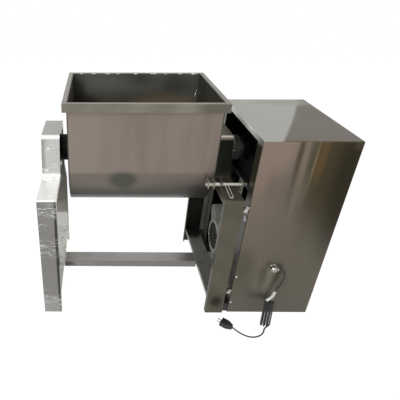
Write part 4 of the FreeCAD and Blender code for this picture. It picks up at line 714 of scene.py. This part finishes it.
        dress(["left_bearing_housing", "right_bearing_housing"],
              Paint("black_casting", (12, 12, 12), (22, 21, 19), 0.5, skin=120.0, relief=0.3, depth=0.0008,
                    gloss=0.12))
        dress(["bearing_bushes", "shaft_bushes"],
              Steel("bronze", (148, 112, 66), (120, 88, 52), Grain.TURNED, 0.9, 0.32))


@dataclass
class Trough:
    """The tilting trough with its rim, trunnions, seals and keeper lugs."""

    def dress(self) -> None:
        """Finish the trough."""
        dress(["trough_shell"], Steel(
            "trough_steel", (126, 115, 106), (115, 103, 94), Grain.ALONG_Z, 0.6, 0.33, 3.2, 0.03,
            (2.4, 1.0, 0.35), 0.08, patches=(
                # Painted light and shade on the shell: a lighter upper left, darker painted bands towards the
                # bottom, dark painted reflections low on the front, and painted shade low to the right.
                Patch((-0.55, -0.26, 0.85), (0.3, 0.1, 0.35), (134, 125, 117), 0.8, 0.8),
                Patch((-0.2, -0.20, 0.42), (3.0, 0.7, 0.31), (106, 99, 91), 0.85, 0.02),
                Patch((-0.2, -0.05, 0.40), (3.0, 0.6, 0.24), (60, 57, 51), 0.9, 0.16),
                Patch((-0.287, -0.185, 0.69), (0.066, 0.1, 0.044), (64, 67, 57), 0.85, 0.4),
                Patch((-0.278, -0.185, 0.645), (0.025, 0.1, 0.030), (66, 66, 57), 0.8, 0.6),
                Patch((0.05, -0.16, 0.60), (0.25, 0.25, 0.09), (60, 58, 50), 0.6, 0.7),
            # Painted reflections and painted shade on the far wall's inside.
            ) + camera_side_patches(0.314, 0.03, (
                (-0.2, 0.95, 0.9, 0.4, (112, 114, 108), 0.95, 0.3),
                (-0.17, 0.88, 0.26, 0.07, (92, 82, 64), 0.8, 0.6),
                (-0.24, 1.03, 0.12, 0.035, (66, 70, 62), 0.7, 0.7),
                (-0.34, 1.01, 0.12, 0.04, (128, 131, 124), 0.7, 0.7),
                (-0.53, 0.95, 0.055, 0.10, (72, 71, 60), 0.9, 0.6),
                (-0.49, 0.90, 0.10, 0.045, (58, 56, 47), 0.9, 0.6),
                (0.0, 0.895, 0.20, 0.05, (146, 132, 110), 0.85, 0.6),
                (0.00, 1.01, 0.06, 0.05, (70, 74, 66), 0.6, 0.7),
            )) + (
                # Painted shade on the near wall's inner face.
                Patch((-0.2, -0.19, 0.95), (0.9, 0.01, 0.4), (60, 60, 54), 0.95, 0.3, BACK),
            )))
        # Painted shade: the ends take a darker copy of the shell's steel.
        dress(["trough_left_end", "trough_right_end"],
              Steel("end_steel", (74, 74, 66), (58, 58, 51), Grain.ALONG_Y, 0.6, 0.34, 4.0, 0.06))
        dress(["rim_long_rails", "rim_end_rails"], Steel(
            "rim_steel", (126, 121, 111), (112, 107, 97), Grain.ALONG_X, 0.6, 0.3, 5.0, 0.06, patches=(
                # Painted highlight on the far rail's front; painted shade on the rail tops; a darker spot on
                # the near rail's front.
                Patch((-0.2, 0.33, 1.05), (1.0, 0.02, 0.04), (225, 225, 220), 0.9, 0.4, FRONT),
                Patch((-0.2, -0.2, 1.057), (1.0, 0.03, 0.006), (112, 108, 98), 0.7, 0.4, TOP),
                Patch((0.09, -0.214, 1.04), (0.075, 0.02, 0.05), (92, 87, 77), 0.9, 0.6, FRONT),
                Patch((0.12, 0.06, 1.057), (0.04, 0.5, 0.02), (98, 92, 81), 0.8, 0.3, TOP),
            )))
        dress(["left_trunnion", "right_trunnion"],
              Steel("turned_steel", (140, 139, 135), (112, 111, 107), Grain.TURNED, 0.9, 0.28))
        dress(["keeper_lugs"],
              Steel("lug_steel", (170, 160, 150), (128, 122, 114), Grain.ALONG_Z, 0.6, 0.3, 30.0))
        dress(["shaft_seals", "strain_relief"], Paint("black_rubber", (24, 24, 24), (36, 35, 34), 0.6))


@dataclass
class Agitator:
    """The kneading shaft with its arms, bars and coupling."""

    def dress(self) -> None:
        """Finish the agitator."""
        dress(["agitator_shaft", "output_shaft", "input_shaft", "motor_shaft", "coupling_hubs"],
              Steel("shaft_steel", (150, 149, 145), (126, 125, 121), Grain.TURNED, 0.8, 0.3,
                    grain_depth=0.08, relief=0.04))
        dress(["kneading_bars", "kneading_arms"],
              Steel("kneading_steel", (142, 140, 134), (108, 106, 100), Grain.NONE, 0.85, 0.3))


@dataclass
class Drive:
    """Gearbox, motor, pulleys and belts under the cover."""

    def dress(self) -> None:
        """Finish the drive."""
        dress(["gearbox_base", "gearbox_cover", "gearbox_caps"],
              Paint("gearbox_paint", (7, 10, 8), (13, 15, 14), 0.5, skin=90.0, relief=0.35, depth=0.001,
                    gloss=0.06))
        dress(["motor_body", "motor_shields"], Paint("motor_paint", (66, 71, 70), (84, 86, 82), 0.42))
        dress(["motor_fan_cover"], Steel(
            "fan_cover_paint", (160, 162, 153), (140, 142, 133), Grain.NONE, 0.1, 0.45, 20.0, 0.03, gloss=0.2,
            # Painted shade: a near-black disc over the fan cover's grille for the dark inside behind it.
            patches=(Patch((0.262, 0.076, 0.195), (0.012, 0.076, 0.076), (9, 9, 7), 0.95, 0.06),)))
        # Painted light: the box's grey is raised to stand in for the light falling on it.
        dress(["terminal_box", "terminal_box_lid"], Paint("box_grey", (150, 150, 142), (132, 132, 125), 0.5))
        dress(["motor_fan"], Paint("fan_plastic", (12, 12, 12), (18, 18, 17), 0.6, gloss=0.15))
        dress(["big_pulley", "motor_pulley"],
              Paint("pulley_iron", (34, 34, 35), (54, 52, 50), 0.5, 0.4, 120.0, 0.3, 0.0006))
        dress(["drive_belts"], Paint("belt_rubber", (20, 20, 20), (30, 29, 28), 0.7))
        dress(["gearbox_bolts", "coupling_bolts", "bearing_bolts", "trunnion_bolts", "cover_screws",
               "cover_brackets", "plug_pins"],
              Steel("zinc_plate", (176, 175, 168), (140, 139, 132), Grain.NONE, 0.9, 0.3))
        dress(["hairpin_clip"], Steel("clip_wire", (226, 224, 216), (198, 196, 188), Grain.NONE, 0.7, 0.3))


@dataclass
class Cover:
    """The tall sheet cover with its side panel."""

    def dress(self) -> None:
        """Finish the cover."""
        dress(["housing_shell"], Steel(
            "cover_steel", (98, 91, 81), (91, 86, 75), Grain.ALONG_Z, 0.6, 0.34, 3.0, 0.05, gloss=0.3,
            # Painted reflections and painted shade on the front: a lighter upper left, dark olive to the
            # upper right, lighter and darker streaks and spots, and a lighter band low down.
            patches=camera_side_patches(-0.33, 0.1, (
                (0.29, 0.90, 0.13, 0.30, (131, 114, 103), 0.9, 0.5),
                (0.30, 0.56, 0.10, 0.20, (106, 96, 85), 0.6, 0.8),
                (0.575, 0.82, 0.115, 0.28, (52, 44, 22), 0.9, 0.6),
                (0.660, 0.76, 0.075, 0.34, (30, 25, 6), 0.9, 0.6),
                (0.652, 0.925, 0.022, 0.02, (64, 58, 40), 0.7, 0.7),
                (0.423, 0.84, 0.011, 0.16, (72, 60, 46), 0.9, 0.6),
                (0.448, 0.80, 0.013, 0.20, (116, 104, 88), 0.8, 0.6),
                (0.515, 0.88, 0.020, 0.12, (86, 66, 38), 0.8, 0.7),
                (0.492, 0.84, 0.005, 0.10, (112, 100, 74), 0.7, 0.8),
                (0.28, 0.30, 0.06, 0.10, (78, 75, 62), 0.8, 0.6),
                (0.45, 0.0, 0.5, 0.12, (90, 87, 77), 0.8, 0.7),
                (0.405, 0.175, 0.045, 0.05, (106, 101, 90), 0.8, 0.7),
                (0.405, 0.72, 0.035, 0.10, (92, 85, 74), 0.6, 0.8),
                (0.345, 0.72, 0.03, 0.08, (100, 90, 80), 0.7, 0.8),
                (0.465, 0.70, 0.025, 0.08, (98, 91, 78), 0.6, 0.8),
                (0.40, 0.24, 0.018, 0.07, (70, 66, 54), 0.6, 0.7),
                (0.435, 0.26, 0.016, 0.05, (118, 113, 98), 0.6, 0.8),
                (0.475, 0.25, 0.016, 0.06, (72, 67, 54), 0.6, 0.8),
            )) + (
                # Painted reflections on the top, painted shade on the left face beside the stand, a painted
                # highlight on the left face's top flange, and painted shade on the inner faces.
                Patch((0.467, -0.04, 0.94), (0.5, 0.6, 0.006), (78, 70, 56), 0.95, 0.1, TOP),
                Patch((0.61, 0.02, 0.94), (0.06, 0.10, 0.006), (66, 56, 38), 0.8, 0.7, TOP),
                Patch((-6.622, 3.610, 0.94), (8.0, 8.0, 8.0), (143, 142, 136), 1.0, 0.0011, TOP),
                Patch((0.54, 0.20, 0.94), (0.14, 0.05, 0.006), (128, 127, 121), 0.8, 0.6, TOP),
                Patch((0.263, -0.30, 0.45), (0.006, 0.4, 0.7), (40, 39, 28), 0.95, 0.1, LEFT, True),
                Patch((0.263, 0.06, 0.93), (0.006, 0.32, 0.032), (216, 216, 208), 1.0, 0.4, LEFT),
                Patch((0.467, -0.33, 0.47), (0.4, 0.012, 0.7), COVER_INSIDE_SHADE, 0.95, 0.1, BACK),
                Patch((0.467, 0.251, 0.47), (0.4, 0.1, 0.7), COVER_INSIDE_SHADE, 0.95, 0.1, FRONT),
                Patch((0.669, -0.04, 0.47), (0.05, 0.5, 0.7), COVER_INSIDE_SHADE, 0.95, 0.1, LEFT),
                Patch((0.467, -0.04, 0.94), (0.4, 0.5, 0.05), COVER_INSIDE_SHADE, 0.95, 0.1, UNDER),
            )))
        dress(["housing_side_panel"], Steel(
            "panel_steel", (112, 106, 96), (96, 90, 80), Grain.ALONG_Z,
            patches=(Patch((0.669, -0.04, 0.47), (0.1, 0.5, 0.7), COVER_INSIDE_SHADE, 0.95, 0.1, LEFT),)))
        dress(["cord_gland"],
              Steel("plated_gland", (190, 188, 180), (150, 148, 140), Grain.TURNED, 0.95, 0.2))


@dataclass
class Keeper:
    """The lock pin in its guide."""

    def dress(self) -> None:
        """Finish the keeper."""
        dress(["lock_pin"], Steel("pin_steel", (214, 209, 198), (190, 185, 174), Grain.ALONG_X, 0.7, 0.42,
                                  20.0, 0.03, relief=0.02))
        dress(["pin_guide"], Steel(
            "guide_steel", (112, 110, 102), (94, 92, 85), Grain.ALONG_X, 0.7, 0.34, 20.0, 0.06,
            patches=(Patch((0.251, -0.214, 0.68), (0.006, 0.05, 0.06), (176, 172, 162), 0.8, 0.3),)))


@dataclass
class Trim:
    """Weld beads, screws, scraps of film and the skirt behind the drive-side stand."""

    bead_radius: float = 0.0024
    bead_step: float = 0.0042
    bead_taper: float = 0.004
    bead_sides: int = 12
    seam_y: float = 0.3112
    screw_radius: float = 0.0055
    screw_sides: int = 24
    scrap_points: int = 26

    def bead(self, name: str, start: Sequence[float], end: Sequence[float], body: str) -> None:
        """Lay a rippled weld bead along a straight seam.

        The radius swells and shrinks once per step of the torch and tapers at both ends.

        Args:
            name: The piece's name.
            start: One end in metres.
            end: The other end.
            body: The body that it rides on.
        """
        line = np.linspace(start, end, 40)
        length = float(np.linalg.norm(line[-1] - line[0]))
        grid = tube(line, max(24, int(length / self.bead_step * 6)), lambda s: self.bead_radius * (
            0.82 + 0.18 * np.sin(s / self.bead_step * 2 * math.pi))
            * np.clip(np.minimum(s, length - s) / self.bead_taper, 0.02, 1.0) ** 0.5, self.bead_sides)
        piece = surface(name, grid, close_v=True)
        # The near-white shade paints the highlight on the beads.
        piece.data.materials.append(Steel("weld_" + name, (238, 236, 230), (190, 182, 168), Grain.NONE,
                                          0.5, 0.3, 60.0, 0.1).material())
        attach(piece, body)

    def screw(self, name: str, centre: Sequence[float]) -> None:
        """Set a button-head screw into the cover's front.

        Its profile, turned about the screw's axis, is a recess, a rim and a dome.

        Args:
            name: The piece's name.
            centre: The middle of the head's seat in metres.
        """
        out = np.array([0.0, 0.25, 0.28, 0.42, 0.62, 0.82, 0.96, 1.0, 0.97]) * self.screw_radius
        rise = np.array([0.10, 0.10, 0.52, 0.60, 0.55, 0.40, 0.18, 0.04, 0.0]) * self.screw_radius
        u = angles(self.screw_sides)
        grid = np.stack([centre[0] + out[:, None] * np.cos(u), centre[1] - rise[:, None] + 0 * u,
                         centre[2] + out[:, None] * np.sin(u)], -1)
        piece = surface(name, grid, close_v=True)
        piece.data.materials.append(Steel("head_" + name, (206, 205, 198), (180, 178, 170), Grain.NONE,
                                          0.85, 0.25, 60.0, 0.05).material())
        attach(piece, "frame")

    def scrap(self, name: str, corner: Sequence[float], wide: Sequence[float],
              high: Sequence[float], lift: Sequence[float]) -> None:
        """Stick a crumpled scrap of film on a face.

        Point (u, v) lies at the corner plus u times the width plus v times the height, lifted by
        a sum of sines that grows from nearly nought along the edge that sticks.

        Args:
            name: The piece's name.
            corner: One corner in metres.
            wide: The edge that sticks.
            high: The other edge.
            lift: The way the scrap stands off.
        """
        share = np.linspace(0, 1, self.scrap_points)
        u, v = np.meshgrid(share, share, indexing="ij")
        ragged = 0.88 + 0.07 * np.sin(13 * u) + 0.05 * np.sin(29 * u + 1.0)
        crumple = v * (0.55 + 0.3 * np.sin(17 * u + 9 * v) + 0.25 * np.sin(31 * v - 11 * u)) + 0.04
        grid = (np.array(corner) + u[..., None] * np.array(wide) + (v * ragged)[..., None] * np.array(high)
                + crumple[..., None] * np.array(lift))
        piece = surface(name, grid)
        wall = piece.modifiers.new("wall", "SOLIDIFY")
        wall.thickness = 0.0003
        piece.data.materials.append(Paint("film_" + name, (176, 175, 168), (236, 236, 233), 0.2,
                                          relief=0.3, skin=200.0, coat=0.5).material())
        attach(piece, "frame")

    def skirt(self) -> None:
        """Carry the closing plate behind the drive-side stand down to the floor; the dark sheet fills the gap
        there with painted shade.
        """
        corners = np.array([(0.2372, 0.2905), (0.2600, 0.2905), (0.2615, 0.2890), (0.2615, 0.2320)])
        heights = np.array([0.004, 0.035, 0.07, 0.0995])
        grid = np.stack([np.concatenate([corners, np.full((4, 1), z)], 1) for z in heights], 1)
        piece = surface("rear_skirt", grid, smooth=False)
        wall = piece.modifiers.new("wall", "SOLIDIFY")
        wall.thickness = 0.0014
        wall.offset = 0.0
        piece.data.materials.append(Paint("dark_skirt", (40, 40, 37), (54, 53, 49), 0.5).material())
        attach(piece, "frame")

    def make(self) -> None:
        """Make all the small things."""
        self.bead("seam_bar_left_top", (-0.585, -0.040, 0.1005), (-0.585, 0.040, 0.1005), "frame")
        for k, x in enumerate((-0.50, -0.44, -0.37, -0.31, -0.22, -0.13, -0.06, 0.01, 0.08)):
            self.bead("seam_rim_%d" % (k + 1), (x, self.seam_y, 1.0550),
                      (x + 0.016 + 0.007 * (k % 3), self.seam_y, 1.0550), "trough")
        self.bead("seam_corner_right", (0.120, self.seam_y, 0.975), (0.113, self.seam_y, 0.935), "trough")
        for name, height in (("edge_screw_upper", 0.233), ("edge_screw_lower", 0.067)):
            self.screw(name, (0.274, -0.327, height))
        for name, corner, wide, high, lift in (
            ("scrap_upper", (0.241, -0.323, 0.602), (0.012, -0.003, 0.0), (0.006, -0.002, 0.036),
             (0.004, -0.012, 0.0)),
            ("scrap_middle", (0.252, -0.323, 0.556), (0.008, -0.003, 0.0), (-0.004, -0.002, 0.034),
             (-0.003, -0.010, 0.0)),
            ("scrap_lower", (0.241, -0.323, 0.124), (0.014, -0.003, 0.0), (0.006, -0.002, 0.034),
             (0.003, -0.012, 0.0)),
            ("scrap_column", (-0.5862, -0.085, 0.690), (0.0, 0.022, 0.006), (0.002, 0.0, 0.042),
             (0.010, 0.0, 0.0)),
        ):
            self.scrap(name, corner, wide, high, lift)
        self.skirt()


@dataclass
class Studio:
    """Camera, lamps, world and floor."""

    eye: Point = (-0.403, -1.881, 1.5722)
    pitch: float = 30.288
    yaw: float = -0.62
    roll: float = 0.087
    focal: float = 412.192
    middle_x: float = 93.998
    picture: int = 400
    sensor: float = 36.0
    ambient: float = 0.55
    floor_half: float = 6.0
    floor_shade: float = 0.95
    floor_glow: float = 1.08

    def camera(self) -> None:
        """Put the camera where the photograph was taken from."""
        pitch, yaw, roll = (math.radians(a) for a in (self.pitch, self.yaw, self.roll))
        ahead = Vector((math.sin(yaw) * math.cos(pitch), math.cos(yaw) * math.cos(pitch), -math.sin(pitch)))
        right = Vector((math.cos(yaw), -math.sin(yaw), 0.0))
        down = ahead.cross(right)
        right, down = (right * math.cos(roll) + down * math.sin(roll),
                       down * math.cos(roll) - right * math.sin(roll))
        turn = Matrix((right, -down, -ahead)).transposed().to_4x4()
        data = bpy.data.cameras.new("camera")
        data.sensor_width = self.sensor
        data.lens = self.focal / self.picture * self.sensor
        data.shift_x = (self.picture / 2 - self.middle_x) / self.picture
        data.clip_start = 0.05
        camera = bpy.data.objects.new("camera", data)
        camera.matrix_world = Matrix.Translation(Vector(self.eye)) @ turn
        bpy.context.scene.collection.objects.link(camera)
        bpy.context.scene.camera = camera

    def lamp(self, name: str, place: Sequence[float], aim: Sequence[float], size: float,
             power: float, spread: float = 180.0) -> None:
        """Hang one square softbox.

        Args:
            name: The lamp's name.
            place: Where it hangs in metres.
            aim: The point that it faces.
            size: Its side in metres.
            power: Its power in watts.
            spread: Full angle of its beam in degrees.
        """
        data = bpy.data.lights.new(name, "AREA")
        data.energy = power
        data.size = size
        data.spread = math.radians(spread)
        lamp = bpy.data.objects.new(name, data)
        lamp.location = Vector(place)
        way = Vector(aim) - Vector(place)
        lamp.rotation_euler = way.to_track_quat("-Z", "Y").to_euler()
        bpy.context.scene.collection.objects.link(lamp)

    def seen(self, bench: Bench) -> Socket:
        """One for rays from the camera and for mirror and glass rays, nought for light."""
        path = bench.add("ShaderNodeLightPath")
        total = path.outputs["Is Camera Ray"]
        for kind in ("Is Glossy Ray", "Is Transmission Ray"):
            total = bench.maths("ADD", total, path.outputs[kind], clamp=True)
        return total

    def build(self) -> None:
        """Make the world, lamps and floor."""
        scene = bpy.context.scene
        scene.view_settings.view_transform = "Standard"
        world = bpy.data.worlds.new("studio")
        world.use_nodes = True
        scene.world = world
        bench = Bench(world.node_tree)
        backdrop = bench.tree.nodes["Background"]
        backdrop.inputs["Color"].default_value = WHITE
        bench.feed(bench.span(self.seen(bench), 0.0, 1.0, self.ambient, 1.0), backdrop.inputs["Strength"])
        self.lamp("key", (-1.6, -2.2, 2.8), (0, 0, 0.5), 1.6, 60)
        self.lamp("top", (0.3, 0.8, 3.0), (0, 0, 0.5), 2.0, 20)
        self.lamp("fill", (2.4, -1.8, 1.6), (0.2, 0, 0.4), 1.6, 18)
        self.lamp("low", (0.0, -1.7, 0.62), (-0.63, 0.18, 0.12), 0.2, 0.2, 8.0)
        side = np.linspace(-self.floor_half, self.floor_half, 2)
        grid = np.stack(np.meshgrid(side, side, [0.0], indexing="ij"), -1)
        floor = surface("floor", grid.reshape(2, 2, 3), smooth=False)
        floor.data.materials.append(self.floor_material())

    def open_floor(self, desk: Desk) -> Socket:
        """The glow's share of the floor: large in the open, nought under the drive cover."""
        off = desk.vector("ABSOLUTE", desk.local((0.455, -0.02, 0.0), (0.205, 0.26, 1.0)))
        parts = desk.add("ShaderNodeSeparateXYZ")
        desk.feed(off.outputs["Vector"], parts.inputs[0])
        most = desk.maths("MAXIMUM", parts.outputs["X"], parts.outputs["Y"])
        return desk.span(most, 0.95, 1.05, 0.0, 0.9)

    def floor_material(self) -> bpy.types.Material:
        """A near-white floor that keeps a soft shadow."""
        desk = Desk("floor")
        glow = desk.add("ShaderNodeEmission")
        glow.inputs["Color"].default_value = WHITE
        glow.inputs["Strength"].default_value = self.floor_glow
        blend = desk.add("ShaderNodeMixShader")
        desk.feed(desk.maths("MULTIPLY", self.seen(desk), self.open_floor(desk)), blend.inputs["Fac"])
        desk.feed(desk.shader.outputs["BSDF"], blend.inputs[1])
        desk.feed(glow.outputs["Emission"], blend.inputs[2])
        desk.feed(blend.outputs["Shader"], desk.tree.nodes["Material Output"].inputs["Surface"])
        return desk.finish({"Base Color": (self.floor_shade, self.floor_shade, self.floor_shade, 1.0),
                            "Roughness": 0.9})


def main() -> None:
    """Load the model, dress it and light it."""
    logging.basicConfig(level=logging.INFO, format="%(message)s")
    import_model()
    studio = Studio()
    studio.camera()
    MainsCord().make()
    dress(["plug"], Paint("plug_plastic", (20, 20, 21), (30, 30, 30), 0.4))
    for group in (Stands(), Trough(), Agitator(), Drive(), Cover(), Keeper()):
        group.dress()
    Trim().make()
    studio.build()


if __name__ == "__main__":
    main()
